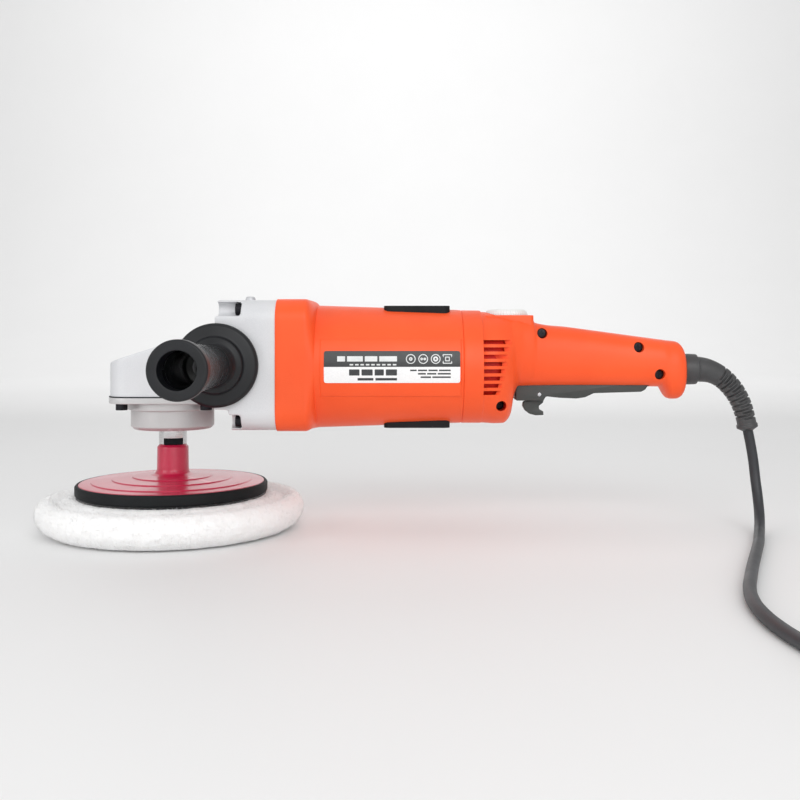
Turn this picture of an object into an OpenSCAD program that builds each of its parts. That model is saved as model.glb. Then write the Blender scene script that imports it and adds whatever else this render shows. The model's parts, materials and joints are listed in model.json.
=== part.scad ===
// Rotary polisher: right-angle bevel head, inline motor, D-style rear handle grip, stick side handle,
// wool polishing pad on a rubber-backed plate, and a free mains cord lying on the floor.
// Millimetres. The origin is where the spindle axis meets the wool's working face; +Z is up the
// spindle, +X points along the motor to the rear handle, and the side handle points to -Y.

/* [Pad and plate] */
// Radius of the wool pad at its widest
wool_r = 105.5; // [90:0.5:115]
// Thickness of the wool pad at its middle
wool_h = 27.4; // [20:0.1:35]
// Radius of the rubber backing disc
rubber_r = 76; // [60:0.5:90]
// Radius of the backing plate
plate_r = 73.3; // [58:0.1:87]
// Radius of the hub on the backing plate
hub_r = 12.7; // [11:0.1:16]

/* [Spindle and gears] */
// Height of the motor axis above the working face
axis_z = 132; // [132:1:132]
// Radius of the exposed spindle collar
spindle_r = 11.1; // [10:0.1:12]
// Width across the spindle's wrench flats
flats_w = 16.5; // [14:0.5:20]
// Radius of the threaded spindle end
thread_r = 7; // [7:1:7]
// Teeth on the ring gear
ring_teeth = 41; // [41:1:41]
// Teeth on the pinion
pinion_teeth = 9; // [9:1:9]

/* [Gear head] */
// Half width of the gear head
head_w = 38.5; // [36:0.5:42]
// Half width of the square flange block
block_w = 49; // [47:0.5:52]
// Half height of the square flange block
block_h = 50.5; // [48:0.5:53]
// Radius of the side handle bosses
boss_r = 15; // [12:0.5:18]
// Distance from the middle plane to each boss face
boss_y = 50.5; // [50:0.5:54]
// Radius of the side handle's threaded hole
handle_hole_r = 4; // [4:1:5]

/* [Motor housing] */
// Front end of the motor housing
motor_x0 = 89; // [89:1:89]
// Rear end of the motor housing
motor_x1 = 233.5; // [225:0.5:240]
// Outer radius of the tube at its front
tube_r0 = 49.2; // [47:0.1:51]
// Outer radius of the tube at its rear
tube_r1 = 45.6; // [44:0.1:47]
// Height of the bumper pads' flat faces above the motor axis
bumper_h = 48.5; // [47:0.5:52]

/* [Rear handle] */
// Wall of the handle shells
wall = 2.8; // [2.2:0.1:3.5]
// Rear end of the handle
handle_x1 = 413.4; // [400:0.1:430]
// Cooling slots on each side
vents = 8; // [4:1:8]
// Height of each cooling slot
vent_h = 3.2; // [2:0.1:4]
// Half width of the trigger's opening
trigger_slot = 9.5; // [8:0.1:11]
// Half width of the trigger lever
trigger_w = 9; // [7.5:0.1:10.5]

/* [Side handle] */
// Length of the grip from the boss face
grip_l = 131; // [120:0.1:160]
// Radius of the grip's flange
grip_flange_r = 32; // [28:0.5:36]
// Radius of the grip body
grip_r = 17.5; // [15:0.1:19]
// Radius of the hollow in the grip
grip_bore_r = 12.6; // [9:0.05:13]

/* [Mains cord] */
// Diameter of the cord
cord_d = 8; // [6:0.1:9]
// Middle radius of the coiled cord
coil_r = 46; // [40:1:60]
// Half width of the coiled bundle
coil_w = 16; // [10:1:18]

/* [Hidden] */
$fn = 64;
flange_z = 102.6;
gasket_z = 107.5;
head_z = 108.3;
slope = atan(25.5 / 80);
block_z = 132.8;
cover_screws = [[-33, -30], [33, -30], [-33, 30], [33, 30]];
block_screws = [[-37, -42.4], [37, -42.4], [-37, 44], [37, 44]];
handle_screw_at = [[297.3, 157.6], [374.1, 146.5], [390.7, 125], [263.3, 100.7]];
lock_x = 63;
hinge = [378, 121.5];
lock_pin = [296.2, 108.5];
dial_x = 270.5;
grip_at = [45, 133];
tube_drop = -1;
clamp_x = 402.3;
coil_at = [446, -365];
plug_x = 504;

// Handle stations: X, bottom, top, half width, squareness, X shift of the inner surface.
stations = [
    [233.5, 85.3, 176.4, 45.6, 2, 0],
    [248.4, 85.3, 176.2, 45.4, 2, 0],
    [249.6, 85.5, 175.2, 44.2, 2, 0],
    [260, 85, 174.6, 41.5, 2.1, 0],
    [266.8, 85.2, 174, 37.5, 2.2, -2],
    [272.4, 90.6, 173.4, 32, 2.3, -2.8],
    [274.8, 105.2, 173.1, 29, 2.4, -2.8],
    [279.4, 114.7, 172.7, 26, 2.5, -2.8],
    [290, 114.7, 171.8, 22.8, 2.5, -2.8],
    [292.8, 114.7, 166.6, 22, 2.5, -2.8],
    [320, 114.7, 162.9, 20, 2.5, 0],
    [360, 114.7, 157.5, 19.5, 2.5, 0],
    [394, 114.7, 152.9, 19.3, 2.5, 2.4],
    [400.8, 105.4, 152, 19.2, 2.5, 2.4],
    [404, 104.7, 151.7, 19.1, 2.5, 0.8],
    [407.5, 104.9, 151, 18.6, 2.5, 0],
    [410.2, 106.2, 149, 17.6, 2.5, -1],
    [412.2, 108.6, 146, 15.8, 2.4, -2],
    [413.1, 111.2, 142.8, 13.8, 2.3, -2.6],
    [handle_x1, 114, 140, 12, 2.2, -2.8]];

// Middle line of the cord boot, as [X, Z, radius] in the middle plane.
boot_line = [
    [424, 128.7, 10.3], [430, 128.2, 9.9], [436, 126.8, 9.2], [442, 124.1, 8.6], [447, 120.5, 8.5],
    [452, 115.5, 8.3], [456.7, 109.3, 8.1], [460.7, 101.9, 7.9], [463.5, 93.9, 7.7], [465.4, 86.5, 7.5],
    [466.6, 79.1, 7.2]];

// Middle line of the cord from the boot to the coil.
cord_line = [
    [466.6, 0, 79.1], [469, 0, 67], [471, -0.3, 54], [472, -2, 40], [472, -7, 26.5], [470, -16, 14.5],
    [465, -30, 6.2], [458, -48, 4], [448, -74, 4], [437, -100, 4], [425.5, -127, 4], [414.5, -153, 4],
    [403.5, -180, 4], [393, -207, 4], [385, -234, 4], [380.5, -261, 4], [379.5, -287, 4], [381.5, -312, 4],
    [386, -338, 4]];

// Leads inside the handle, from the jacket's cut end to the switch.
lead_a = [[397.4, 2, 131], [392, 4, 136], [382, 7, 137.5], [368, 10, 137], [352, 10.5, 136], [335, 6, 137]];
lead_b = [[397.4, -2, 131], [392, -4, 136], [382, -7, 137.5], [368, -10, 137], [352, -10.5, 136],
    [335, -6, 137]];

// ---- helpers ----

// Points of a rounded rectangle, half sizes a and b, corner radius r.
function rounded(a, b, r, n = 6) = [for (q = [0:3], i = [0:n])
    let (t = 90 * q + 90 * i / n, sx = (q == 0 || q == 3) ? 1 : -1, sy = q < 2 ? 1 : -1)
    [sx * (a - r) + r * cos(t), sy * (b - r) + r * sin(t)]];

// Ring of n points around a path point, in the plane across the direction d, with radius r.
function unit(v) = v / norm(v);
function ring(p, d, r, n) =
    let (s = unit(cross(d, abs(d[1]) < 0.9 * norm(d) ? [0, 1, 0] : [1, 0, 0])), u = unit(cross(d, s)))
    [for (i = [0:n - 1]) p + r * (s * cos(360 * i / n) + u * sin(360 * i / n))];
function way(pts, i) = unit(pts[min(i + 1, len(pts) - 1)] - pts[max(i - 1, 0)]);

// Faces of a tube of m rings with n points each, both ends closed.
function skin(m, n) = concat([[for (i = [0:n - 1]) i]],
    [for (k = [0:m - 2], i = [0:n - 1]) let (a = k * n + i, b = k * n + (i + 1) % n) [a, a + n, b + n]],
    [for (k = [0:m - 2], i = [0:n - 1]) let (a = k * n + i, b = k * n + (i + 1) % n) [a, b + n, b]],
    [[for (i = [n - 1:-1:0]) (m - 1) * n + i]]);

// Tube along points, one radius per point.
module sweep(pts, radii, n = 8)
    polyhedron([for (i = [0:len(pts) - 1]) each ring(pts[i], way(pts, i), radii[i], n)],
        skin(len(pts), n), convexity = 6);

module tube_x(x0, x1, r, y = 0, z = axis_z)
    translate([x0, y, z]) rotate([0, 90, 0]) cylinder(h = x1 - x0, r = r);
module cone_x(x0, x1, r0, r1)
    translate([x0, 0, axis_z]) rotate([0, 90, 0]) cylinder(h = x1 - x0, r1 = r0, r2 = r1);
module tube_y(y0, y1, r, x, z)
    translate([x, y0, z]) rotate([-90, 0, 0]) cylinder(h = y1 - y0, r = r);
module tube_z(z0, z1, r, x = 0, y = 0)
    translate([x, y, z0]) cylinder(h = z1 - z0, r = r);
// Box from its two corners.
module box(a, b) translate(a) cube(b - a);
// Rounded rectangle, half width a and half height b, run along X.
module block_x(x0, x1, a, b, r, z = block_z)
    translate([x0, 0, z]) rotate([90, 0, 90]) linear_extrude(x1 - x0) polygon(rounded(a, b, r));
// Bearing: race rings with a shallow groove on both faces, about the Z axis.
module bearing(r_out, r_in, h)
    let (m = (r_out + r_in) / 2, g = (r_out - r_in) * 0.16)
    rotate_extrude() polygon([[r_in, 0], [m - g, 0], [m - g, 0.8], [m + g, 0.8], [m + g, 0],
        [r_out, 0], [r_out, h], [m + g, h], [m + g, h - 0.8], [m - g, h - 0.8], [m - g, h], [r_in, h]]);
module along_x(x) translate([x, 0, axis_z]) rotate([0, 90, 0]) children();
// Socket-head screw pointing up from z0, with its head below.
module cap_screw(z0, head_r, head_h, shank_r, shank_l)
    difference() {
        union() { tube_z(z0, z0 + head_h, head_r); tube_z(z0 + head_h - 1, z0 + head_h + shank_l, shank_r); }
        translate([0, 0, z0 - 1]) cylinder(h = 3.6, r = head_r * 0.52, $fn = 6);
    }
// Small helical spring along Z, from z0 to z1.
module spring(z0, z1, r, wire, turns)
    let (n = round(turns * 10))
    sweep([for (i = [0:n]) [r * cos(36 * i), r * sin(36 * i), z0 + wire + (z1 - z0 - 2 * wire) * i / n]],
        [for (i = [0:n]) wire], 6);

// ---- pad, plate and spindle ----

module wool_pad()
    color([0.95, 0.94, 0.9]) rotate_extrude($fn = 96) polygon([[0, 0], [86, 0], [94, 1.6], [101, 6.5],
        [104.6, 11.5], [wool_r, 16.5], [104, 22], [100.5, 26], [96, 27.2], [92, 25.6], [88.6, 22.6],
        [85.5, 24.6], [80, wool_h], [0, wool_h]]);

module hook_disc()
    color([0.12, 0.12, 0.12]) tube_z(wool_h, wool_h + 1.5, rubber_r - 1);

module backing_rubber()
    color([0.16, 0.16, 0.17]) rotate_extrude($fn = 96) polygon([[0, wool_h + 1.5], [rubber_r - 1.4, wool_h + 1.5],
        [rubber_r, wool_h + 2.9], [rubber_r, 36.4], [rubber_r - 1.2, 37.8], [plate_r + 0.2, 37.8],
        [plate_r + 0.2, 35.6], [16, 35.6], [16, 32], [0, 32]]);

module backing_plate()
    color([0.75, 0.1, 0.24]) rotate_extrude($fn = 96) polygon([[thread_r, 32], [15.8, 32], [15.8, 35.6],
        [plate_r, 35.6], [plate_r, 38], [64, 38.7], [63.2, 39.5], [48, 40.4], [47.2, 41.2], [32, 42],
        [31.2, 42.8], [17.5, 43.6], [14, 44.8], [hub_r, 47.6], [hub_r - 0.3, 66.2], [hub_r - 2, 68],
        [thread_r, 68]]);

module spindle()
    color([0.62, 0.63, 0.65]) difference() {
        rotate_extrude() polygon([[0, 44], [thread_r - 0.9, 44], [thread_r - 0.1, 45.2], [thread_r - 0.1, 68],
            [spindle_r - 0.6, 68], [spindle_r, 68.6], [spindle_r, 84], [10, 84], [10, 97], [9, 97],
            [9, 124], [6, 124], [6, 140], [5.4, 140.6], [0, 140.6]]);
        rotate([0, 0, 16]) for (s = [-1, 1])
            box([-20, min(s * 20, s * flats_w / 2), 67.9], [20, max(s * 20, s * flats_w / 2), 73.5]);
        box([6.5, -2, 112], [10, 2, 121]);
    }

module spindle_key()
    color([0.5, 0.5, 0.52]) box([6.6, -1.95, 112.2], [11.2, 1.95, 120.8]);

module gear_spacer()
    color([0.55, 0.56, 0.58]) difference() { tube_z(97, 112, 12.5); tube_z(96, 113, 9.03); }

module gear_retaining_ring()
    color([0.2, 0.2, 0.22]) difference() {
        tube_z(122.05, 123.4, 12);
        tube_z(121, 125, 9.03);
        box([7, -1.5, 121], [14, 1.5, 125]);
    }

// Section of a straight bevel tooth at cone distance c, half thickness t and height h off the pitch
// cone, for a gear whose axis is +Z and whose pitch cone has half angle g, opening downward.
function tooth_pt(c, g, t, h) = [c * sin(g) + h * cos(g), t, -c * cos(g) + h * sin(g)];
// prof: list of [half thickness, height] at the outer end; the inner end is scaled by k.
module bevel_tooth(c, k, g, prof)
    let (n = len(prof),
        side = concat([for (p = prof) tooth_pt(c, g, -p[0], p[1])],
            [for (i = [n - 1:-1:0]) tooth_pt(c, g, prof[i][0], prof[i][1])]))
    polyhedron(concat(side, [for (p = side) p * k]), concat([[for (i = [0:2 * n - 1]) i]],
        [for (i = [0:2 * n - 1]) let (j = (i + 1) % (2 * n)) [i, i + 2 * n, j + 2 * n, j]],
        [[for (i = [2 * n - 1:-1:0]) i + 2 * n]]));

cone_l = 30.72;
ring_cone = atan(ring_teeth / pinion_teeth);

module ring_gear()
    color([0.45, 0.46, 0.48]) difference() {
        union() {
            rotate_extrude() polygon([[9.03, 112], [20, 112], [29.9, 119], [30.1, 123.7], [20.4, 125.95],
                [19, 124], [15, 122], [9.03, 122]]);
            for (i = [0:ring_teeth - 1])
                translate([0, 0, axis_z]) rotate([0, 0, 360 * (i + 0.5) / ring_teeth])
                    bevel_tooth(cone_l, 0.71, ring_cone, [[1.62, -2.1], [0.6, 0.7]]);
        }
        box([8, -2, 111], [11.3, 2, 123]);
    }

// ---- armature ----

module armature_shaft()
    color([0.6, 0.61, 0.63]) union() {
        tube_x(15, 38, 3);
        tube_x(37.9, 60, 6);
        tube_x(59, 205, 7);
        tube_x(204, 216, 4);
    }

module drive_pinion()
    color([0.45, 0.46, 0.48]) difference() {
        union() {
            translate([0, 0, axis_z]) rotate([0, 90, 0])
                rotate_extrude() polygon([[0, 20.6], [3.9, 20.6], [5.55, 31], [7.2, 31], [7.2, 37.9], [0, 37.9]]);
            for (i = [0:pinion_teeth - 1])
                translate([0, 0, axis_z]) rotate([360 * (i + 0.5) / pinion_teeth, 0, 0]) rotate([0, -90, 0])
                    bevel_tooth(cone_l, 0.71, 90 - ring_cone,
                        [[1.05, -1.2], [1, 0.1], [0.72, 0.8], [0.25, 1.5]]);
        }
        tube_x(20, 38, 3.03);
    }

module pinion_nut()
    color([0.35, 0.35, 0.37]) difference() {
        translate([16.2, 0, axis_z]) rotate([0, 90, 0]) cylinder(h = 4.2, r = 5, $fn = 6);
        tube_x(16, 21, 3.03);
    }

module lock_collar()
    color([0.55, 0.56, 0.58]) difference() {
        tube_x(60, 66, 14);
        tube_x(59, 67, 7.03);
        for (a = [0:90:270]) translate([0, 0, axis_z]) rotate([a, 0, 0]) box([59, -3, 11.5], [67, 3, 15]);
    }

module cooling_fan()
    color([0.2, 0.21, 0.23]) difference() {
        union() {
            tube_x(72, 86, 12);
            tube_x(84.5, 86, 42);
            for (i = [0:13]) translate([0, 0, axis_z]) rotate([i * 360 / 14, 0, 0])
                box([73.5, -0.7, 11.5], [84.6, 0.7, 41]);
        }
        tube_x(71, 87, 7.03);
    }

module armature_core()
    color([0.4, 0.41, 0.43]) difference() {
        tube_x(115, 165, 22);
        tube_x(114, 166, 7.03);
        for (i = [0:11]) translate([0, 0, axis_z]) rotate([i * 30, 0, 0]) box([114, -1, 19], [166, 1, 23]);
    }

module armature_windings()
    color([0.72, 0.4, 0.2]) for (s = [[103.5, 115], [165, 176.5]])
        translate([s[0], 0, axis_z]) rotate([0, 90, 0]) rotate_extrude()
            polygon([[7.1, 0], [17, 0], [20, 3], [20, s[1] - s[0] - 3], [17, s[1] - s[0]], [7.1, s[1] - s[0]]]);

module commutator()
    color([0.75, 0.47, 0.28]) difference() {
        union() { tube_x(179, 183, 16.8); tube_x(182, 204, 15); }
        tube_x(178, 205, 7.03);
        for (i = [0:15]) translate([0, 0, axis_z]) rotate([i * 22.5, 0, 0]) box([183.4, -0.35, 14], [205, 0.35, 16]);
    }

// ---- gear head ----

module cover_shape()
    polygon(concat([[35, -39.5], [41, -33.5], [41, 33.5], [35, 39.5]],
        [for (i = [0:6]) [-26 - 19 * sin(15 * i), 20.5 + 19 * cos(15 * i)]],
        [for (i = [0:6]) [-26 - 19 * cos(15 * i), -20.5 - 19 * sin(15 * i)]]));

module gear_cover()
    color([0.72, 0.73, 0.74]) difference() {
        union() {
            rotate_extrude() polygon([[0, 81], [30.5, 81], [33, 83.5], [33, 96.8], [36, 96.8],
                [36, 104], [0, 104]]);
            translate([0, 0, flange_z]) linear_extrude(gasket_z - flange_z) cover_shape();
        }
        tube_z(80, 84.5, 17.03);
        tube_z(84, 97, 21.03);
        tube_z(96, 98.6, 24.03);
        tube_z(98, 108, 29);
        for (p = cover_screws) tube_z(100, 110, 2.7, p[0], p[1]);
    }

module gear_cover_gasket()
    color([0.08, 0.08, 0.08]) difference() {
        translate([0, 0, gasket_z]) linear_extrude(head_z - gasket_z) cover_shape();
        tube_z(107, 109, 33.5);
        for (p = cover_screws) tube_z(107, 109, 2.7, p[0], p[1]);
    }

module gear_cover_screws()
    color([0.3, 0.3, 0.31]) for (p = cover_screws)
        translate([p[0], p[1], 0]) cap_screw(97.6, 4.5, 5, 2.4, 16);

module lower_spindle_bearing()
    color([0.66, 0.67, 0.69]) translate([0, 0, 84]) bearing(21, 10.03, 12);

module bearing_retainer()
    color([0.5, 0.51, 0.53]) difference() { tube_z(96, 98.6, 24); tube_z(95, 99, 15); }

module spindle_seal()
    color([0.15, 0.15, 0.15]) difference() { tube_z(81.4, 84, 17); tube_z(81, 85, 11.6); }

module upper_needle_bearing()
    color([0.66, 0.67, 0.69]) difference() { tube_z(130, 140, 10); tube_z(129, 141, 6.05); }

// Plan of the gear head, square at the block and rounded at its nose.
head_plan = concat([[46, -head_w], [46, head_w]],
    [for (i = [0:6]) [-26 - 18 * sin(15 * i), head_w - 18 + 18 * cos(15 * i)]],
    [for (i = [0:6]) [-26 - 18 * cos(15 * i), -head_w + 18 - 18 * sin(15 * i)]]);

// Everything below a plane that climbs to the rear and passes h above the gear head's nose.
module under_slope(h)
    translate([-44, 0, 134.5 + h]) rotate([0, -slope, 0]) box([-60, -60, -80], [110, 60, 0]);

module gear_housing()
    color([0.8, 0.81, 0.82]) difference() {
        union() {
            difference() {
                union() {
                    intersection() {
                        translate([0, 0, head_z]) linear_extrude(60) polygon(head_plan);
                        under_slope(0);
                    }
                    difference() {
                        block_x(43, motor_x0, block_w, block_h, 16);
                        box([40, -60, 70], [53.5, 60, 99]);
                    }
                    tube_y(-boss_y, boss_y, boss_r, grip_at[0], grip_at[1]);
                }
                // gear chamber, pinion tunnel, bearing seats and fan chamber
                difference() {
                    intersection() { tube_z(head_z - 1, 165, 33.5); under_slope(-4.5); }
                    tube_z(130, 170, 13);
                    box([36.5, -60, 100], [60, 60, 170]);
                }
                tube_z(129, 140.8, 10.03);
                tube_x(14, 44.5, 13);
                tube_x(44, 54, 16.03);
                tube_x(53.5, 61, 12);
                tube_x(60, motor_x0 + 1, 44);
            }
            tube_z(166, 177, 6.5, lock_x);
        }
        // shaft lock well and pin guide
        tube_z(171, 190, 4.38, lock_x);
        tube_z(165, 172, 2.05, lock_x);
        // fixings: screw grooves open to the sides, screw holes and side handle holes
        for (p = cover_screws) tube_z(head_z - 1, 120, 2.5, p[0], p[1]);
        for (p = block_screws) {
            tube_x(42, 62.5, 5.3, p[0], axis_z + p[1]);
            box([42, min(p[0], sign(p[0]) * 60), axis_z + p[1] - 4.7],
                [62.5, max(p[0], sign(p[0]) * 60), axis_z + p[1] + 4.7]);
            tube_x(61.5, motor_x0 + 1, 2.7, p[0], axis_z + p[1]);
        }
        tube_y(boss_y - 20, boss_y + 1, handle_hole_r, grip_at[0], grip_at[1]);
        tube_y(-boss_y - 1, -boss_y + 20, handle_hole_r, grip_at[0], grip_at[1]);
        // air outlets in the block's nose side
        for (s = [-1, 1], i = [0:3]) box([40, s * 21 - 5.5, 161 + i * 4.6], [62, s * 21 + 5.5, 163.4 + i * 4.6]);
        for (s = [-1, 1], i = [0:1]) box([40, s * 18 - 6, 88 + i * 5], [62, s * 18 + 6, 90.6 + i * 5]);
    }

module gear_housing_screws()
    color([0.16, 0.16, 0.17]) for (p = block_screws)
        translate([62.5, p[0], axis_z + p[1]]) difference() {
            union() { rotate([0, 90, 0]) cylinder(h = 48, r = 2.4); rotate([0, -90, 0]) cylinder(h = 5, r = 4.6); }
            translate([-6, 0, 0]) rotate([0, 90, 0]) cylinder(h = 3.4, r = 2.4, $fn = 6);
        }

module shaft_lock_button()
    color([0.85, 0.85, 0.86]) union() {
        tube_z(179.2, 187.5, 4.3, lock_x);
        tube_z(151, 180, 2, lock_x);
    }

module shaft_lock_spring()
    color([0.7, 0.7, 0.72]) translate([lock_x, 0, 0]) difference() {
        tube_z(171.05, 179.15, 3.7);
        tube_z(171, 180, 2.5);
    }

// ---- motor ----

module tube_cone(grow = 0)
    cone_x(113, motor_x1, tube_r0 + 0.22 + grow, tube_r1 + grow);

module motor_housing()
    color([0.94, 0.32, 0.14]) difference() {
        union() {
            translate([0, 0, tube_drop]) tube_cone();
            intersection() {
                block_x(motor_x0, 120, 50.2, 51.3, 17);
                cone_x(motor_x0, 119.5, 84, 48.4);
            }
            for (s = [-1, 1]) translate([0, 0, tube_drop]) intersection() {
                cone_x(123, 231.5, 49.6, 46.75);
                box([123, min(0, s * 60), axis_z - 21.7], [231.5, max(0, s * 60), axis_z + 21.7]);
            }
        }
        difference() {
            union() { tube_x(motor_x0 - 1, 113.5, 45.5); cone_x(113, motor_x1 + 1, 45.4, 42.4); }
            for (a = [0:90:270]) translate([0, 0, axis_z]) rotate([a, 0, 0]) box([113.5, -30, 41.55], [166, -22, 60]);
            difference() {
                tube_x(205, 217, 60);
                tube_x(204, 218, 13.03);
                for (a = [0:60:300]) translate([0, 0, axis_z]) rotate([a, 0, 0]) tube_x(204, 218, 7, 29, 0);
            }
        }
        for (p = block_screws) tube_x(motor_x0 - 1, 111.5, 2.5, p[0], axis_z + p[1]);
    }

module fan_baffle()
    color([0.13, 0.13, 0.14]) difference() { tube_x(motor_x0, 91.5, 45.4); tube_x(88, 93, 28); }

module stator_core()
    color([0.42, 0.43, 0.45]) difference() {
        tube_x(115, 165, 41.5);
        tube_x(114, 166, 23);
        for (sy = [-1, 1], sz = [-1, 1])
            translate([114, sy * 19.5 - 4.6, axis_z + sz * 26.5 - 4.6]) cube([52, 9.2, 9.2]);
    }

module field_coils()
    color([0.7, 0.38, 0.18]) for (sz = [-1, 1]) translate([140, 0, axis_z + sz * 26.5 - 4.4]) difference() {
        linear_extrude(8.8) polygon(rounded(37, 24, 5));
        translate([0, 0, -1]) linear_extrude(12) polygon(rounded(27.5, 15, 3));
    }

module brush_holders()
    color([0.7, 0.58, 0.3]) for (s = [1, -1]) translate([0, 0, axis_z]) mirror([0, 0, s < 0 ? 1 : 0])
        difference() {
            union() { box([186, -7.5, 17], [198, 7.5, 38]); box([197.5, -7.5, 17], [205, 7.5, 21]); }
            box([188, -5.5, 16], [196, 5.5, 36.5]);
        }

module carbon_brushes()
    color([0.1, 0.1, 0.11]) for (s = [-1, 1])
        translate([0, 0, axis_z]) mirror([0, 0, s < 0 ? 1 : 0]) box([188.05, -5.45, 15.4], [195.95, 5.45, 29]);

module brush_springs()
    color([0.72, 0.72, 0.74]) for (s = [-1, 1])
        translate([192, 0, axis_z]) mirror([0, 0, s < 0 ? 1 : 0]) spring(29, 36.5, 3, 0.4, 5);

module armature_front_bearing()
    color([0.66, 0.67, 0.69]) along_x(44) bearing(16, 6.03, 10);

module armature_rear_bearing()
    color([0.66, 0.67, 0.69]) along_x(207.5) bearing(11, 4.03, 7);

module rear_bearing_sleeve()
    color([0.15, 0.15, 0.16]) difference() {
        tube_x(205, 217, 13);
        tube_x(204, 214.5, 11.03);
        tube_x(214, 218, 9);
    }

module bumper_pads()
    color([0.13, 0.13, 0.14]) for (s = [0, 1])
        translate([0, 0, axis_z + tube_drop]) mirror([0, 0, s]) translate([0, 0, -axis_z])
        difference() {
            translate([197.75, 0, axis_z + 38]) linear_extrude(bumper_h - 38) polygon(rounded(26.25, 18, 5));
            tube_cone(0.01, $fn = 160);
        }

module rating_label()
    color([0.92, 0.92, 0.92]) intersection() {
        translate([0, 0, tube_drop]) difference() {
            cone_x(123, 231.5, 50.15, 47.3);
            cone_x(122, 232.5, 49.64, 46.74);
        }
        translate([178.35, 0, axis_z - 0.3]) rotate([90, 0, 0]) linear_extrude(60)
            polygon(rounded(51.95, 12.2, 1.5, 3));
    }

// ---- rear handle ----

function oval(s, g, dx, n = 32) = let (zc = (s[1] + s[2]) / 2, h = (s[2] - s[1]) / 2 - g, w = s[3] - g)
    [for (i = [0:n - 1]) let (t = 360 * (i + 0.5) / n, c = cos(t), q = sin(t))
        [s[0] + dx, w * sign(c) * pow(abs(c), 2 / s[4]), zc + h * sign(q) * pow(abs(q), 2 / s[4])]];

module shell_outside()
    polyhedron([for (s = stations) each oval(s, 0, 0)], skin(len(stations), 32), convexity = 6);
module shell_inside()
    polyhedron([for (i = [0:len(stations) - 1]) let (s = stations[i])
        each oval(s, wall, i == 0 ? -1 : s[5])], skin(len(stations), 32), convexity = 6);

module shell_bosses()
    intersection() {
        shell_outside();
        union() {
            for (p = handle_screw_at) tube_y(-40, 40, 5.4, p[0], p[1]);
            difference() {
                tube_y(-30, 30, 5.4, hinge[0], hinge[1]);
                box([360, -10.5, 110], [390, 10.5, 130]);
            }
            // seats for the switch, the speed controller, the capacitor and the clamp
            for (s = [-1, 1]) {
                box([302, min(s * 11.3, s * 25), 128], [333, max(s * 11.3, s * 25), 144]);
                box([346, min(s * 8.3, s * 25), 126], [366, max(s * 8.3, s * 25), 129.5]);
                box([252, min(s * 22, s * 50), 146], [262, max(s * 22, s * 50), 149]);
            }
            box([clamp_x - 4.1, -25, 110], [clamp_x + 4.1, 25, 121.9]);
        }
    }

module shell_body()
    difference() {
        union() {
            difference() {
                union() {
                    shell_outside();
                    // flat seat round the speed dial
                    translate([271, 0, 160]) linear_extrude(12) polygon(rounded(19.5, 18.5, 3));
                }
                shell_inside();
            }
            shell_bosses();
        }
        box([274.9, -trigger_slot, 95], [384.6, trigger_slot, 121.2]);
        tube_z(168, 190, 17.6, dial_x);
        tube_x(404, 420, 8.6, 0, 128.7);
        tube_x(407, 410.4, 11.1, 0, 128.7);
        for (i = [0:vents - 1], s = [-1, 1])
            box([248.6, s > 0 ? 20 : -60, 149 - 5.6 * i],
                [270 - 1.3 * i, s > 0 ? 60 : -20, 149 + vent_h - 5.6 * i]);
        for (p = handle_screw_at) {
            tube_y(-60, -11, 4.2, p[0], p[1]);
            tube_y(-12, 0.5, 2, p[0], p[1]);
            tube_y(0, 9, 1.7, p[0], p[1]);
        }
        for (s = [-1, 1]) tube_y(min(s * 9, s * 14.5), max(s * 9, s * 14.5), 2.55, hinge[0], hinge[1]);
        for (s = [-1, 1]) tube_z(112, 123, 1.7, clamp_x, s * 7.5);
    }

module handle_shell_left()
    color([0.94, 0.32, 0.14]) intersection() { shell_body(); box([220, -70, 70], [430, 0, 200]); }
module handle_shell_right()
    color([0.94, 0.32, 0.14]) intersection() { shell_body(); box([220, 0, 70], [430, 70, 200]); }

module cross_screw(l, r = 3.2)
    difference() {
        union() { cylinder(h = 2.4, r = r); cylinder(h = l, r = 1.65); }
        translate([-2, -0.4, -1]) cube([4, 0.8, 2]);
        translate([-0.4, -2, -1]) cube([0.8, 4, 2]);
    }

module housing_screws()
    color([0.14, 0.12, 0.12]) {
        for (p = handle_screw_at) translate([p[0], -13.4, p[1]]) rotate([-90, 0, 0]) cross_screw(22, 3.9);
        for (s = [-1, 1]) translate([clamp_x, s * 7.5, 138.4]) rotate([180, 0, 0]) cross_screw(24);
    }

module cord_clamp()
    color([0.2, 0.2, 0.21]) difference() {
        box([clamp_x - 4.1, -11, 121.9], [clamp_x + 4.1, 11, 136]);
        tube_x(clamp_x - 5, clamp_x + 5, cord_d / 2 + 0.02, 0, 128.7);
        for (s = [-1, 1]) tube_z(121, 137, 1.7, clamp_x, s * 7.5);
    }

module switch_body()
    color([0.12, 0.12, 0.13]) difference() {
        box([301, -11, 127], [335, 11, 147]);
        box([307.5, -4.5, 126], [316.5, 4.5, 140]);
    }

module switch_plunger()
    color([0.75, 0.2, 0.15]) box([308, -4, 118.9], [316, 4, 134]);

module speed_controller()
    color([0.1, 0.35, 0.2]) difference() {
        union() {
            box([251, -21, 149.2], [281, 21, 151]);
            tube_z(150.5, 158, 8.5, dial_x);
            box([273, -12, 150.9], [280, 12, 158]);
            box([252, -14, 150.9], [256, 14, 156]);
        }
        tube_z(153, 160, 3.4, dial_x);
    }

module suppression_capacitor()
    color([0.85, 0.7, 0.2]) box([346, -8, 129.6], [366, 8, 141.5]);

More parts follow.
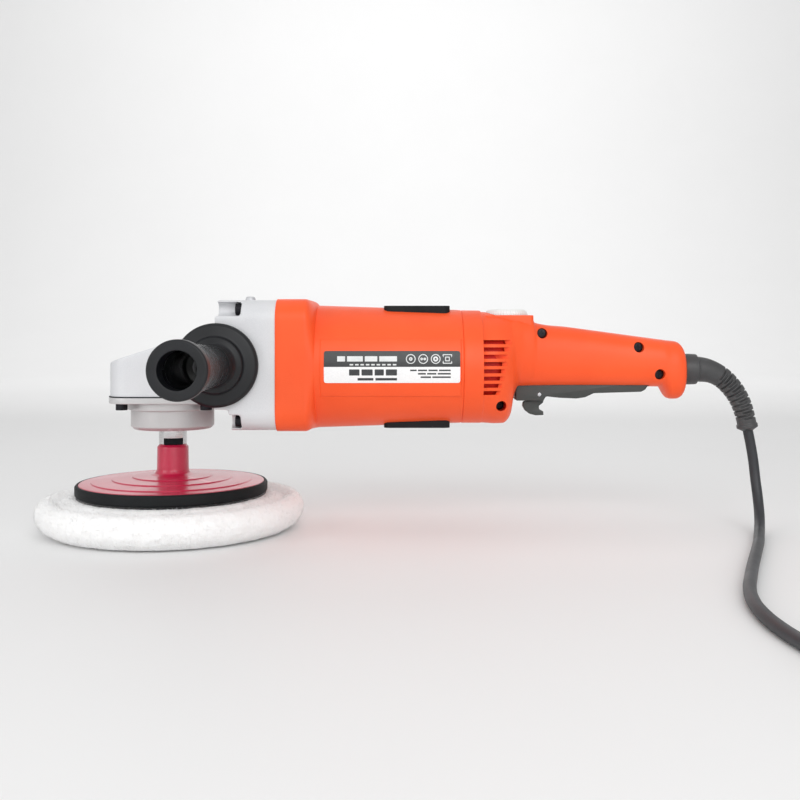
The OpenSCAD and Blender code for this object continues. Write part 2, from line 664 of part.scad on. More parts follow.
module speed_dial()
    color([0.93, 0.93, 0.92]) translate([dial_x, 0, 0]) difference() {
        rotate_extrude($fn = 72) polygon([[0, 153.6], [3, 153.6], [3, 168.6], [16.4, 168.6], [17.2, 169.4],
            [17.2, 173.4], [16.2, 175.6], [14.6, 176.9], [0, 176.9]]);
        for (i = [0:5]) rotate([0, 0, 60 * i + 30]) translate([12.6, 0, 175.6]) cylinder(h = 3, r = 1.2, $fn = 24);
    }

// Trigger profile, as [X, Z].
trigger_side = [[277.3, 104.6], [278.3, 103.6], [299.6, 103.6], [301.4, 107.1], [312, 105.9], [326, 105.3],
    [333, 106.3], [340, 109.6], [378, 110.7], [381.4, 112.6], [383.2, 115.5], [383.2, 118], [380, 125.5],
    [374, 125.5], [370, 118.2], [277.3, 118.2]];

module trigger_lever()
    color([0.14, 0.14, 0.15]) difference() {
        union() {
            translate([0, trigger_w, 0]) rotate([90, 0, 0]) linear_extrude(2 * trigger_w) polygon(trigger_side);
            tube_y(-14.2, 14.2, 2.5, hinge[0], hinge[1]);
        }
        box([282.5, -3.6, 90], [304, 3.6, 114.5]);
        tube_y(-8.4, 8.4, 1.53, lock_pin[0], lock_pin[1]);
    }

module lock_lever_pin()
    color([0.85, 0.85, 0.87]) tube_y(-8.35, 8.35, 1.5, lock_pin[0], lock_pin[1]);

module lock_lever()
    color([0.14, 0.14, 0.15]) difference() {
        translate([0, 3.2, 0]) rotate([90, 0, 0]) linear_extrude(6.4)
            polygon(concat([for (i = [0:8]) lock_pin + 4.4 * [cos(22.5 * i), sin(22.5 * i)]],
                [[290.6, 103.4], [284, 102.6], [283.6, 99], [285.4, 95.4], [289, 92.6], [294, 91.4], [300.4, 91.6],
                [300.2, 94.6], [296.8, 96.4], [296.6, 99], [300, 101.6], [300.6, 104.6]]));
        tube_y(-5, 5, 1.55, lock_pin[0], lock_pin[1]);
    }

// ---- cord and plug ----

module inner_leads()
    color([0.12, 0.12, 0.13]) union() {
        tube_x(396.6, 417.6, cord_d / 2, 0, 128.7);
        sweep(lead_a, [for (p = lead_a) 1.3], 8);
        sweep(lead_b, [for (p = lead_b) 1.3], 8);
    }

module cord_boot()
    color([0.2, 0.2, 0.21]) union() {
        difference() {
            union() {
                tube_x(406.9, handle_x1 + 1, 8.5, 0, 128.7);
                tube_x(407.1, 410.3, 11, 0, 128.7);
                translate([handle_x1, 0, 128.7]) rotate([0, 90, 0]) cylinder(h = 11, r1 = 12.5, r2 = 12.2);
            }
            tube_x(406, 417.6, cord_d / 2 + 0.02, 0, 128.7);
        }
        sweep([for (p = boot_line) [p[0], 0, p[1]]], [for (p = boot_line) p[2]], 16);
    }

module power_cord()
    color([0.13, 0.13, 0.14]) sweep(cord_line, [for (p = cord_line) cord_d / 2], 10);

module cord_coil()
    color([0.13, 0.13, 0.14]) translate([coil_at[0], coil_at[1], 0]) rotate_extrude($fn = 72)
        polygon([[coil_r - coil_w, 3], [coil_r - coil_w + 3, 0], [coil_r + coil_w - 3, 0], [coil_r + coil_w, 3],
            [coil_r + coil_w, 12.4], [coil_r + coil_w - 3, 15.4], [coil_r - coil_w + 3, 15.4],
            [coil_r - coil_w, 12.4]]);

module mains_plug()
    color([0.13, 0.13, 0.14]) difference() {
        union() {
            translate([plug_x, -328.8, 10]) rotate([-90, 0, 0]) cylinder(h = 29.8, r1 = 5.2, r2 = 7.5);
            translate([plug_x, -299.5, 10]) rotate([-90, 0, 0]) linear_extrude(12) polygon(rounded(11, 9, 7));
            translate([plug_x, -288, 10]) rotate([-90, 0, 0]) linear_extrude(19) polygon(rounded(17.7, 10, 9.6));
        }
        for (s = [-1, 1]) tube_y(-281, -268, 2.22, plug_x + s * 9.5, 10);
    }

module plug_pins()
    color([0.8, 0.8, 0.82]) for (s = [-1, 1]) {
        tube_y(-281, -268.8, 2.2, plug_x + s * 9.5, 10);
        tube_y(-268.9, -251, 2.4, plug_x + s * 9.5, 10);
        translate([plug_x + s * 9.5, -251, 10]) rotate([-90, 0, 0]) cylinder(h = 1, r1 = 2.4, r2 = 1.6);
    }

// ---- side handle ----

// Grip profile, as [radius, distance from the boss face].
module side_grip()
    color([0.17, 0.17, 0.18]) translate([grip_at[0], -boss_y, grip_at[1]]) rotate([90, 0, 0]) rotate_extrude()
        polygon([[4.03, 0], [grip_flange_r - 1, 0], [grip_flange_r, 1], [grip_flange_r, 4.5], [grip_flange_r - 2, 6.5],
            [22, 7.5], [21, 11], [16.5, 13], [14.8, 18], [14.8, 30], [15.4, 31], [grip_r, 118], [19.2, 121],
            [19.6, 122.5], [19.6, grip_l - 1], [18.6, grip_l], [grip_bore_r, grip_l], [grip_bore_r, 47.5],
            [8, 47.5], [8, 26], [4.03, 26]]);

module side_handle_stud()
    color([0.75, 0.75, 0.77]) union() {
        tube_y(-boss_y - 26.5, -boss_y + 16, 3.95, grip_at[0], grip_at[1]);
        translate([grip_at[0], -boss_y - 26, grip_at[1]]) rotate([90, 0, 0]) cylinder(h = 6.5, r = 7.4, $fn = 6);
    }

motor_housing();
gear_housing();
gear_housing_screws();
gear_cover();
gear_cover_gasket();
gear_cover_screws();
lower_spindle_bearing();
bearing_retainer();
upper_needle_bearing();
spindle_seal();
fan_baffle();
stator_core();
field_coils();
brush_holders();
carbon_brushes();
brush_springs();
armature_front_bearing();
armature_rear_bearing();
rear_bearing_sleeve();
bumper_pads();
rating_label();
handle_shell_left();
handle_shell_right();
housing_screws();
switch_body();
speed_controller();
suppression_capacitor();
cord_clamp();
inner_leads();
cord_boot();
power_cord();
cord_coil();
mains_plug();
plug_pins();
side_grip();
side_handle_stud();
shaft_lock_spring();
spindle();
spindle_key();
gear_spacer();
ring_gear();
gear_retaining_ring();
backing_plate();
backing_rubber();
hook_disc();
wool_pad();
armature_shaft();
drive_pinion();
pinion_nut();
lock_collar();
cooling_fan();
armature_core();
armature_windings();
commutator();
trigger_lever();
lock_lever_pin();
lock_lever();
speed_dial();
shaft_lock_button();
switch_plunger();
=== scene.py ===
import json
import math

import bmesh
import bpy
import numpy as np
from mathutils import Matrix, Vector, noise


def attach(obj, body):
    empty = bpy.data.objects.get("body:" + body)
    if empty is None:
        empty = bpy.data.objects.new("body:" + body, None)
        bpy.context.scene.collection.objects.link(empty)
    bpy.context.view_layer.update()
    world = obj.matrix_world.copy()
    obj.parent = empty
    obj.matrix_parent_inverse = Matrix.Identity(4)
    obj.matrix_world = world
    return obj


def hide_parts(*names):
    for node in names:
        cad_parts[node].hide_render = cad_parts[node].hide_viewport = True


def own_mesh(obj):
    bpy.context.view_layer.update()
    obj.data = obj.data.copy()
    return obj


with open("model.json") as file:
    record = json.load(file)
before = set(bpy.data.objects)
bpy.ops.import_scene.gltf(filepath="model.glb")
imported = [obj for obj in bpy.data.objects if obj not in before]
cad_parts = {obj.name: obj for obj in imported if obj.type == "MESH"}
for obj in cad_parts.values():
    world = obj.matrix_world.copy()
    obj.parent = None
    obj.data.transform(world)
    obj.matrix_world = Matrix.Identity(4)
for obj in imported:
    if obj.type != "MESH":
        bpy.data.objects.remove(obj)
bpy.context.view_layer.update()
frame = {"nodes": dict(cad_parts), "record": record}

scene = bpy.context.scene
nodes = frame["nodes"]
MM = 0.001
AXIS_Z = 132.0  # height of the motor's axis above the pad's working face
TUBE_Z = 131.0  # height of the middle of the housing's tube
FLATS_TURN = math.radians(16)  # how far the spindle's spanner flats are turned from X
GRIP_X, GRIP_Z = 45.0, 133.0  # the side handle's axis
SPLIT_X = 233.5  # where the rear handle meets the motor housing
OUTLET_Z = 128.7  # height of the cord's outlet
PANEL_X, PANEL_LONG = 123.0, 108.5  # front end and length of the housing's side panels
rng = np.random.default_rng(7)


def placed(name, data):
    ob = bpy.data.objects.new(name, data)
    scene.collection.objects.link(ob)
    return ob


# ---- camera ----

camera = placed("camera", bpy.data.cameras.new("camera"))
camera.location = (0.1843, -0.781, 0.1515)
camera.rotation_euler = (math.radians(90), 0, 0)
camera.data.sensor_width = 36
camera.data.lens = 43.29
camera.data.shift_y = -0.07375
scene.camera = camera
scene.view_settings.view_transform = "Standard"


# ---- materials ----

def srgb(r, g, b):
    """Linear colour from 8-bit sRGB."""
    return tuple(c / 3294.6 if c <= 10 else ((c / 255 + 0.055) / 1.055) ** 2.4 for c in (r, g, b)) + (1.0,)


class Look:
    """One procedural material. Textures use object coordinates, which are the frame's own metres."""

    def __init__(self, name, **sockets):
        self.material = bpy.data.materials.new(name)
        self.material.use_nodes = True
        self.tree = self.material.node_tree
        self.shader = self.tree.nodes["Principled BSDF"]
        self.place = self.tree.nodes.new("ShaderNodeTexCoord").outputs["Object"]
        for key, value in sockets.items():
            self.shader.inputs[key.replace("_", " ")].default_value = value

    def add(self, kind, inputs=(), **settings):
        made = self.tree.nodes.new("ShaderNode" + kind)
        for key, value in settings.items():
            setattr(made, key, value)
        for key, value in dict(inputs).items():
            if isinstance(value, bpy.types.NodeSocket):
                self.tree.links.new(value, made.inputs[key])
            else:
                made.inputs[key].default_value = value
        return made

    def noise(self, scale, detail=3.0, at=None, rough=0.55):
        return self.add("TexNoise", {"Vector": at or self.place, "Scale": scale, "Detail": detail,
                                     "Roughness": rough}).outputs["Fac"]

    def span(self, value, low, high, to_low=0.0, to_high=1.0):
        return self.add("MapRange", {"Value": value, "From Min": low, "From Max": high,
                                     "To Min": to_low, "To Max": to_high}).outputs["Result"]

    def math(self, operation, a, b=0.0):
        return self.add("Math", {0: a, 1: b}, operation=operation).outputs[0]

    def times(self, a, b):
        return self.math("MULTIPLY", a, b)

    def plus(self, a, b):
        return self.math("ADD", a, b)

    def mix(self, factor, a, b):
        """Colour a where factor is 0, b where it is 1."""
        made = self.add("Mix", {0: factor, 6: a, 7: b}, data_type="RGBA")
        return made.outputs[2]

    def blend(self, value, light, dark, low=0.3, high=0.7):
        """8-bit sRGB colour light where value is low, dark where it is high."""
        return self.mix(self.span(value, low, high), srgb(*light), srgb(*dark))

    def xyz(self):
        return self.add("SeparateXYZ", {"Vector": self.place}).outputs

    def round(self, centre, across=("X", "Y")):
        """Angle and radius about a line through centre, from the two named coordinates."""
        x, y = (self.math("SUBTRACT", self.xyz()[a], c) for a, c in zip(across, centre))
        angle = self.math("ARCTAN2", y, x)
        radius = self.math("SQRT", self.plus(self.times(x, x), self.times(y, y)))
        return angle, radius

    def vector(self, x, y, z):
        return self.add("CombineXYZ", {"X": x, "Y": y, "Z": z}).outputs["Vector"]

    def colour(self, socket):
        self.tree.links.new(socket, self.shader.inputs["Base Color"])
        return self

    def rough(self, socket):
        self.tree.links.new(socket, self.shader.inputs["Roughness"])
        return self

    def bump(self, height, strength, depth, under=None):
        """depth is in millimetres."""
        made = self.add("Bump", {"Height": height, "Strength": strength, "Distance": depth * MM})
        if under is not None:
            self.tree.links.new(under, made.inputs["Normal"])
        self.tree.links.new(made.outputs["Normal"], self.shader.inputs["Normal"])
        return made.outputs["Normal"]


def moulded(name, light, dark, rough, patch=14.0, grain=1800.0, bump=0.12, depth=0.05, edge=None, **sockets):
    """Moulded or cast surface: slow colour drift, fine grain in colour, roughness and relief."""
    look = Look(name, **sockets)
    slow, fine = look.noise(patch), look.noise(grain, 2.0)
    both = look.plus(look.times(slow, 0.7), look.times(fine, 0.3))
    colour = look.blend(both, light, dark, 0.38, 0.62)
    if edge:
        worn = look.span(look.add("NewGeometry").outputs["Pointiness"], edge[1], edge[2])
        colour = look.mix(look.times(worn, look.span(fine, 0.3, 0.7, 0.4, 1.0)), colour, srgb(*edge[0]))
    look.colour(colour).rough(look.span(both, 0.35, 0.65, rough[0], rough[1]))
    look.bump(fine, bump, depth)
    return look.material


ORANGE = moulded("orange_plastic", (252, 94, 44), (246, 87, 38), (0.38, 0.48), bump=0.12, depth=0.05,
                 Specular_IOR_Level=0.32)
ALLOY = moulded("cast_alloy", (221, 222, 224), (209, 210, 213), (0.44, 0.56), grain=1400.0, bump=0.22,
                depth=0.08, edge=((236, 236, 238), 0.52, 0.58), Metallic=0.12)
COVER = moulded("cover_alloy", (204, 203, 203), (188, 187, 187), (0.34, 0.46), grain=1500.0, bump=0.16,
                depth=0.06, edge=((225, 225, 226), 0.52, 0.58), Metallic=0.3)
BLACK = moulded("black_plastic", (66, 69, 67), (55, 58, 56), (0.36, 0.46), bump=0.2, depth=0.06)
RUBBER = moulded("black_rubber", (23, 26, 28), (17, 19, 21), (0.55, 0.68), patch=22.0, grain=1200.0,
                 bump=0.3, depth=0.08, Specular_IOR_Level=0.25)
SLEEVE = moulded("sleeve_rubber", (72, 72, 73), (60, 60, 61), (0.4, 0.52), patch=26.0, grain=1400.0,
                 bump=0.25, depth=0.07)
SHEATH = moulded("cord_sheath", (50, 51, 55), (40, 41, 45), (0.42, 0.52), patch=30.0, grain=1600.0,
                 bump=0.2, depth=0.06)
CRIMSON = moulded("crimson_plastic", (202, 26, 72), (190, 20, 62), (0.3, 0.42), bump=0.12, depth=0.04,
                  edge=((240, 90, 120), 0.53, 0.6), Coat_Weight=0.7, Coat_Roughness=0.24)
WHITE = moulded("white_plastic", (238, 238, 236), (228, 228, 226), (0.3, 0.38), bump=0.08, depth=0.03)
OXIDE = moulded("black_oxide", (46, 46, 50), (34, 34, 38), (0.36, 0.5), patch=60.0, grain=1500.0,
                bump=0.2, depth=0.04, Metallic=0.8)
STEEL = moulded("ground_steel", (205, 205, 208), (188, 188, 192), (0.2, 0.34), patch=60.0,
                grain=900.0, bump=0.12, depth=0.03, Metallic=1.0)
GEAR = moulded("gear_steel", (150, 152, 156), (132, 133, 138), (0.28, 0.42), patch=80.0, grain=1100.0,
               bump=0.15, depth=0.03, Metallic=1.0)


def grip_look():
    """Glossy black rubber with fine rings round it from moulding and handling."""
    look = Look("grip_rubber", Specular_IOR_Level=0.42)
    angle, radius = look.round((GRIP_X * MM, GRIP_Z * MM), ("X", "Z"))
    along = look.xyz()["Y"]
    rings = look.noise(1.0, 4.0, look.vector(look.times(angle, 0.5), 0.0, look.times(along, 420.0)))
    fine = look.noise(1500.0, 2.0)
    look.colour(look.blend(rings, (13, 15, 18), (22, 24, 28), 0.35, 0.65))
    # the waist between ring and neck is polished by the hand
    waist = look.times(look.span(along, -0.1685, -0.1665), look.span(along, -0.083, -0.081, 1, 0))
    look.rough(look.math("SUBTRACT", look.span(rings, 0.3, 0.7, 0.38, 0.54), look.times(waist, 0.24)))
    under = look.add("Bump", {"Height": rings, "Strength": 0.35, "Distance": 0.12 * MM}).outputs["Normal"]
    look.bump(fine, 0.12, 0.04, under)
    return look.material


def wool_look():
    """Lambswool: fine strands that run outward, in tufts, with soft shade between them."""
    look = Look("wool", Roughness=0.95, Specular_IOR_Level=0.15, Sheen_Weight=0.5, Sheen_Roughness=0.5,
                Subsurface_Weight=0.25, Subsurface_Scale=0.004)
    look.shader.inputs["Subsurface Radius"].default_value = (1.0, 0.95, 0.9)
    angle, radius = look.round((0.0, 0.0))
    strands = look.noise(1.0, 3.0, look.vector(look.times(angle, 110.0), look.times(radius, 240.0),
                                               look.times(look.xyz()["Z"], 240.0)), 0.65)
    tufts = look.noise(170.0, 3.0)
    slow = look.noise(26.0)
    shade = look.plus(look.times(strands, 0.45),
                      look.plus(look.times(tufts, 0.35), look.times(slow, 0.2)))
    look.colour(look.blend(shade, (247, 246, 245), (255, 255, 255), 0.32, 0.58))
    under = look.add("Bump", {"Height": tufts, "Strength": 0.5, "Distance": 1.2 * MM}).outputs["Normal"]
    look.bump(strands, 0.5, 0.5, under)
    return look.material


def label_look():
    """Printed film: dark band over white, with a satin clear coat."""
    look = Look("label_film", Coat_Weight=0.1, Coat_Roughness=0.25)
    band = look.span(look.xyz()["Z"], 0.13170, 0.13180)
    ink = look.noise(900.0, 2.0)
    dark = look.blend(ink, (42, 45, 46), (36, 39, 40))
    white = look.blend(ink, (246, 246, 246), (238, 238, 238))
    look.colour(look.mix(band, white, dark)).rough(look.span(ink, 0.3, 0.7, 0.34, 0.42))
    look.bump(ink, 0.05, 0.02)
    return look.material


def spindle_look():
    """Turned steel, with painted shade on the floor of the spanner flats: there the colour is near black,
    standing for the dark reflection they show.
    """
    look = Look("spindle_steel", Metallic=1.0)
    angle, radius = look.round((0.0, 0.0))
    x, y, z = look.xyz()
    y = look.math("SUBTRACT", look.times(y, math.cos(FLATS_TURN)), look.times(x, math.sin(FLATS_TURN)))
    lines = look.noise(1.0, 2.0, look.vector(look.times(angle, 1.5), 0.0, look.times(z, 3000.0)))
    away = look.math("ABSOLUTE", y)
    # painted shade: mask of the spanner flats' floor, which is coloured near black in place of its dark
    # reflection
    flats_painted_dark = look.times(look.math("LESS_THAN", away, 0.00835),
                      look.times(look.math("LESS_THAN", z, 0.0736), look.math("GREATER_THAN", away, 0.0081)))
    bright = look.blend(lines, (222, 220, 220), (200, 199, 200))
    # painted shade: near-black colour for the flats' floor, standing for reflection and shadow
    dark = look.blend(lines, (26, 30, 32), (38, 40, 42))
    look.colour(look.mix(flats_painted_dark, bright, dark))
    look.rough(look.plus(look.span(lines, 0.3, 0.7, 0.16, 0.3), look.times(flats_painted_dark, 0.2)))
    look.bump(lines, 0.2, 0.02)
    return look.material


def wound(name, light, dark, scale, rough=(0.25, 0.4), metallic=0.9):
    """Windings or stacked sheets: fine regular lines."""
    look = Look(name, Metallic=metallic)
    wave = look.add("TexWave", {"Vector": look.place, "Scale": scale, "Distortion": 1.5,
                                "Detail": 2.0}).outputs["Fac"]
    look.colour(look.mix(wave, srgb(*dark), srgb(*light))).rough(look.span(wave, 0, 1, rough[1], rough[0]))
    look.bump(wave, 0.5, 0.15)
    return look.material


def woven(name, light, dark, scale):
    """Hook or loop fabric: small close loops."""
    look = Look(name, Roughness=0.9, Sheen_Weight=0.4)
    cells = look.add("TexVoronoi", {"Vector": look.place, "Scale": scale}).outputs["Distance"]
    look.colour(look.blend(cells, light, dark, 0.1, 0.7))
    look.bump(cells, 0.8, 0.5)
    return look.material


GRIP, WOOL, LABEL, SPINDLE = grip_look(), wool_look(), label_look(), spindle_look()
LOOKS = {
    "housing_plastic": ORANGE, "cast_alloy": ALLOY, "cover_alloy": COVER, "black_screws": OXIDE,
    "bright_steel": STEEL, "gear_steel": GEAR, "gasket": RUBBER, "dark_plastic": BLACK,
    "black_rubber": RUBBER, "label": LABEL, "cord_sheath": SHEATH, "plate_plastic": CRIMSON, "wool": WOOL,
    "dial_plastic": WHITE,
    "laminations": wound("laminations", (150, 150, 155), (90, 90, 96), 1400.0),
    "copper": wound("enamelled_copper", (196, 110, 62), (130, 62, 34), 900.0),
    "brass": moulded("brass", (196, 164, 92), (178, 146, 78), (0.25, 0.4), patch=60.0, Metallic=1.0),
    "carbon": moulded("carbon", (34, 34, 36), (24, 24, 26), (0.5, 0.65), patch=90.0, bump=0.3),
    "board": moulded("circuit_board", (28, 96, 58), (20, 78, 46), (0.3, 0.45), patch=120.0, bump=0.2),
    "capacitor": moulded("capacitor_case", (214, 178, 58), (200, 164, 48), (0.3, 0.4), patch=60.0),
    "plug_chrome": moulded("nickel", (214, 214, 218), (198, 198, 202), (0.12, 0.24), patch=90.0,
                           grain=1200.0, Metallic=1.0),
    "hook_fabric": woven("hook_fabric", (40, 40, 42), (20, 20, 22), 900.0),
    "fan_plastic": moulded("fan_plastic", (58, 60, 64), (44, 46, 50), (0.45, 0.6), patch=60.0, bump=0.3),
    "button_steel": moulded("satin_button", (214, 215, 218), (202, 203, 206), (0.34, 0.46), patch=80.0,
                            grain=1200.0, bump=0.1, Metallic=0.5),
    "red_plastic": moulded("red_plastic", (196, 52, 40), (180, 44, 34), (0.3, 0.4), patch=60.0),
}


# ---- mesh helpers ----

def grid_faces(m, n, ring=False, wrap=True, caps=False):
    """Quads over m rows of n points. wrap closes each row, ring joins the last row to the first."""
    faces = [(i * n + j, i * n + (j + 1) % n, ((i + 1) % m) * n + (j + 1) % n, ((i + 1) % m) * n + j)
             for i in range(m if ring else m - 1) for j in range(n if wrap else n - 1)]
    if caps:
        faces += [tuple(range(n)), tuple(range((m - 1) * n, m * n))]
    return faces


def build(name, *shells):
    """A mesh object from (points in mm, faces) shells: welded, with normals outward."""
    points, faces, base = [], [], 0
    for pts, quads in shells:
        pts = np.asarray(pts, float).reshape(-1, 3)
        points.append(pts)
        faces += [tuple(i + base for i in q) for q in quads]
        base += len(pts)
    data = bpy.data.meshes.new(name)
    data.from_pydata((np.concatenate(points) * MM).tolist(), [], faces)
    bm = bmesh.new()
    bm.from_mesh(data)
    bmesh.ops.remove_doubles(bm, verts=bm.verts, dist=1e-6)
    bmesh.ops.recalc_face_normals(bm, faces=bm.faces)
    bm.to_mesh(data)
    bm.free()
    return placed(name, data)


def fillet(profile, radius, steps=4):
    """Closed profile with its corners rounded. radius is one number, or one for each corner."""
    pts = [np.array(p, float) for p in profile]
    radii = list(radius) if hasattr(radius, "__len__") else [radius] * len(pts)
    out = []
    for i, p in enumerate(pts):
        a, b = pts[i - 1] - p, pts[(i + 1) % len(pts)] - p
        la, lb = np.linalg.norm(a), np.linalg.norm(b)
        half = math.acos(float(np.clip(a @ b / max(la * lb, 1e-12), -1, 1))) / 2
        if radii[i] <= 0 or half > 1.53 or half < 0.02:
            out.append(p)
            continue
        t = min(radii[i] / math.tan(half), 0.48 * la, 0.48 * lb)
        first, last = p + a / la * t, p + b / lb * t
        for s in np.linspace(0, 1, steps + 1):
            out.append((1 - s) ** 2 * first + 2 * s * (1 - s) * p + s * s * last)
    return np.array(out)


def around(count):
    """Evenly spaced angles over a full turn."""
    return np.arange(count) * 2 * math.pi / count


def turned(profile, axis="z", at=(0.0, 0.0), count=128):
    """Shell swept round an axis from a closed profile of (radius, distance along)."""
    profile = np.asarray(profile, float)
    t = around(count)
    u, v = profile[:, :1] * np.cos(t), profile[:, :1] * np.sin(t)
    w = profile[:, 1:2] + 0 * t
    u, v = at[0] + u, at[1] + v
    rows = {"x": (w, u, v), "y": (u, w, v), "z": (u, v, w)}[axis]
    return np.stack(rows, -1), grid_faces(len(profile), count, ring=True)


def lathe(name, profile, radius=0.4, axis="z", at=(0.0, 0.0), count=128, steps=4):
    radii = [0 if p[0] < 1e-6 else r for p, r in zip(profile, radius if hasattr(radius, "__len__")
                                                     else [radius] * len(profile))]
    return build(name, turned(fillet(profile, radii, steps), axis, at, count))


def cylinder(axis, low, high, r, at, count=64):
    """Shell of a closed cylinder along an axis."""
    return turned([[0, low], [r, low], [r, high], [0, high]], axis, at, count)


def both_sides(near, far, r, at, count):
    """Two cylinders along Y, from near to far on each side of the middle."""
    return [cylinder("y", *sorted((s * near, s * far)), r, at, count) for s in (-1, 1)]


def box(low, high):
    corners = [[(low, high)[i][0], (low, high)[j][1], (low, high)[k][2]]
               for i in (0, 1) for j in (0, 1) for k in (0, 1)]
    return corners, [(0, 1, 3, 2), (4, 6, 7, 5), (0, 4, 5, 1), (2, 3, 7, 6), (0, 2, 6, 4), (1, 5, 7, 3)]


def slab(front, back, order=-1):
    """Shell between two grids of points, closed round its rim. order is that of the back faces' corners."""
    m, n = front.shape[:2]
    faces = grid_faces(m, n, wrap=False)
    rim = ([i * n for i in range(m)] + [(m - 1) * n + j for j in range(1, n)]
           + [i * n + n - 1 for i in range(m - 2, -1, -1)] + list(range(n - 2, 0, -1)))
    faces += [tuple(i + m * n for i in f[::order]) for f in faces]
    faces += [(a, b, b + m * n, a + m * n) for a, b in zip(rim, rim[1:] + rim[:1])]
    return np.concatenate([front.reshape(-1, 3), back.reshape(-1, 3)]), faces


def prism(outline, axis, low, high):
    """Shell of an outline run along an axis. The outline gives the other two coordinates, in order."""
    outline = np.asarray(outline, float)
    rows = []
    for w in (low, high):
        full = np.full((len(outline), 3), float(w))
        full[:, [i for i in range(3) if "xyz"[i] != axis]] = outline
        rows.append(full)
    return np.stack(rows), grid_faces(2, len(outline), caps=True)


def rounded(a, b, r, steps=8):
    """Rounded rectangle with half sizes a and b."""
    return [((a - r) * sx + r * math.cos(t), (b - r) * sy + r * math.sin(t))
            for q, (sx, sy) in enumerate(((1, 1), (-1, 1), (-1, -1), (1, -1)))
            for t in np.radians(90 * q + np.linspace(0, 90, steps + 1))]


def evaluated(ob):
    bpy.context.view_layer.update()
    graph = bpy.context.evaluated_depsgraph_get()
    return bpy.data.meshes.new_from_object(ob.evaluated_get(graph), depsgraph=graph)


def baked(ob):
    """Applies the object's modifiers."""
    data = evaluated(ob)
    ob.modifiers.clear()
    old, ob.data = ob.data, data
    bpy.data.meshes.remove(old)
    return ob


def modify(ob, kind, **settings):
    made = ob.modifiers.new(kind.lower(), kind)
    for key, value in settings.items():
        setattr(made, key, value)
    return ob


def bevel(ob, width, segments=3, angle=35):
    modify(ob, "BEVEL", width=width * MM, segments=segments, limit_method="ANGLE",
           angle_limit=math.radians(angle), use_clamp_overlap=True)
    return baked(ob)


def combine(ob, operation, *tools):
    """Boolean of ob with each tool in turn. The tools are used up."""
    for tool in tools:
        modify(ob, "BOOLEAN", object=tool, operation=operation, solver="EXACT")
    baked(ob)
    for tool in tools:
        bpy.data.objects.remove(tool)
    return ob


def cut(ob, *shells):
    """Takes closed shells out of ob. Shells that touch each other go in separate calls."""
    return combine(ob, "DIFFERENCE", build("tool", *shells))


def dress(ob, material, sharp):
    ob.data.materials.clear()
    ob.data.materials.append(material)
    ob.data.shade_smooth()
    ob.data.set_sharp_from_angle(angle=math.radians(sharp))


def show(ob, body, slot, *stands_for, look=None, sharp=38):
    """Gives a piece its material, shading, body and the CAD nodes it stands for."""
    dress(ob, look or LOOKS[slot], sharp)
    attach(ob, body)
    if stands_for:
        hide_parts(*stands_for)
    return ob


def eased(x, y, at):
    """Smooth curve through (x, y) that never overshoots, read at the given places."""
    x, y, at = (np.asarray(v, float) for v in (x, y, at))
    h, d = np.diff(x), np.diff(y) / np.diff(x)
    m = np.zeros_like(y)
    m[0], m[-1] = d[0], d[-1]
    for i in range(1, len(x) - 1):
        if d[i - 1] * d[i] > 0:
            a, b = 2 * h[i] + h[i - 1], h[i] + 2 * h[i - 1]
            m[i] = (a + b) / (a / d[i - 1] + b / d[i])
    k = np.clip(np.searchsorted(x, at, side="right") - 1, 0, len(x) - 2)
    s = (at - x[k]) / h[k]
    return ((2 * s**3 - 3 * s**2 + 1) * y[k] + (s**3 - 2 * s**2 + s) * h[k] * m[k]
            + (3 * s**2 - 2 * s**3) * y[k + 1] + (s**3 - s**2) * h[k] * m[k + 1])


def soft_step(low, high, x):
    t = np.clip((x - low) / (high - low), 0, 1)
    return t * t * (3 - 2 * t)


def distance_along(pts):
    return np.concatenate([[0], np.cumsum(np.linalg.norm(np.diff(pts, axis=0), axis=1))])


def even_line(points, step):
    """Points at an even spacing along a smooth line through the given ones."""
    pts = np.asarray(points, float)
    s = distance_along(pts)
    count = max(2, int(round(s[-1] / step)) + 1)
    at = np.linspace(0, s[-1], count)
    return np.stack([eased(s, pts[:, i], at) for i in range(3)], -1)


def tube(line, radii, count=32, shape=None):
    """Shell along a line. shape gives each ring's radius factor by angle, if it isn't round."""
    line = np.asarray(line, float)
    way = np.gradient(line, axis=0)
    way /= np.linalg.norm(way, axis=1)[:, None]
    side = np.tile([0.0, 1.0, 0.0], (len(line), 1))
    side -= way * np.sum(side * way, 1)[:, None]
    side /= np.linalg.norm(side, axis=1)[:, None]
    up = np.cross(way, side)
    t = around(count)
    r = np.asarray(radii, float)[:, None] * (np.ones(count) if shape is None else shape)
    rows = (line[:, None] + side[:, None] * (r * np.cos(t))[..., None]
            + up[:, None] * (r * np.sin(t))[..., None])
    return rows, grid_faces(len(line), count, caps=True)


# ---- mains cord, its coil and plug ----

CORD_D = 8.0
CORD_LINE = [
    (466.6, 0, 79.1), (469, 0, 67), (471, -0.3, 54), (472, -2, 40), (472, -7, 26.5), (470, -16, 14.5),
    (465, -30, 6.2), (458, -48, 4), (448, -74, 4), (437, -100, 4), (425.5, -127, 4), (414.5, -153, 4),
    (403.5, -180, 4), (393, -207, 4), (385, -234, 4), (380.5, -261, 4), (379.5, -287, 4), (381.5, -312, 4),
    (386, -338, 4)]
COIL_AT, COIL_OUT, COIL_IN, COIL_TURNS = (446.0, -365.0), 58.0, 34.0, 3.25
PLUG_X, PLUG_Z = 504.0, 10.0
PIN_OUT = 9.5  # each plug pin's distance from the plug's middle


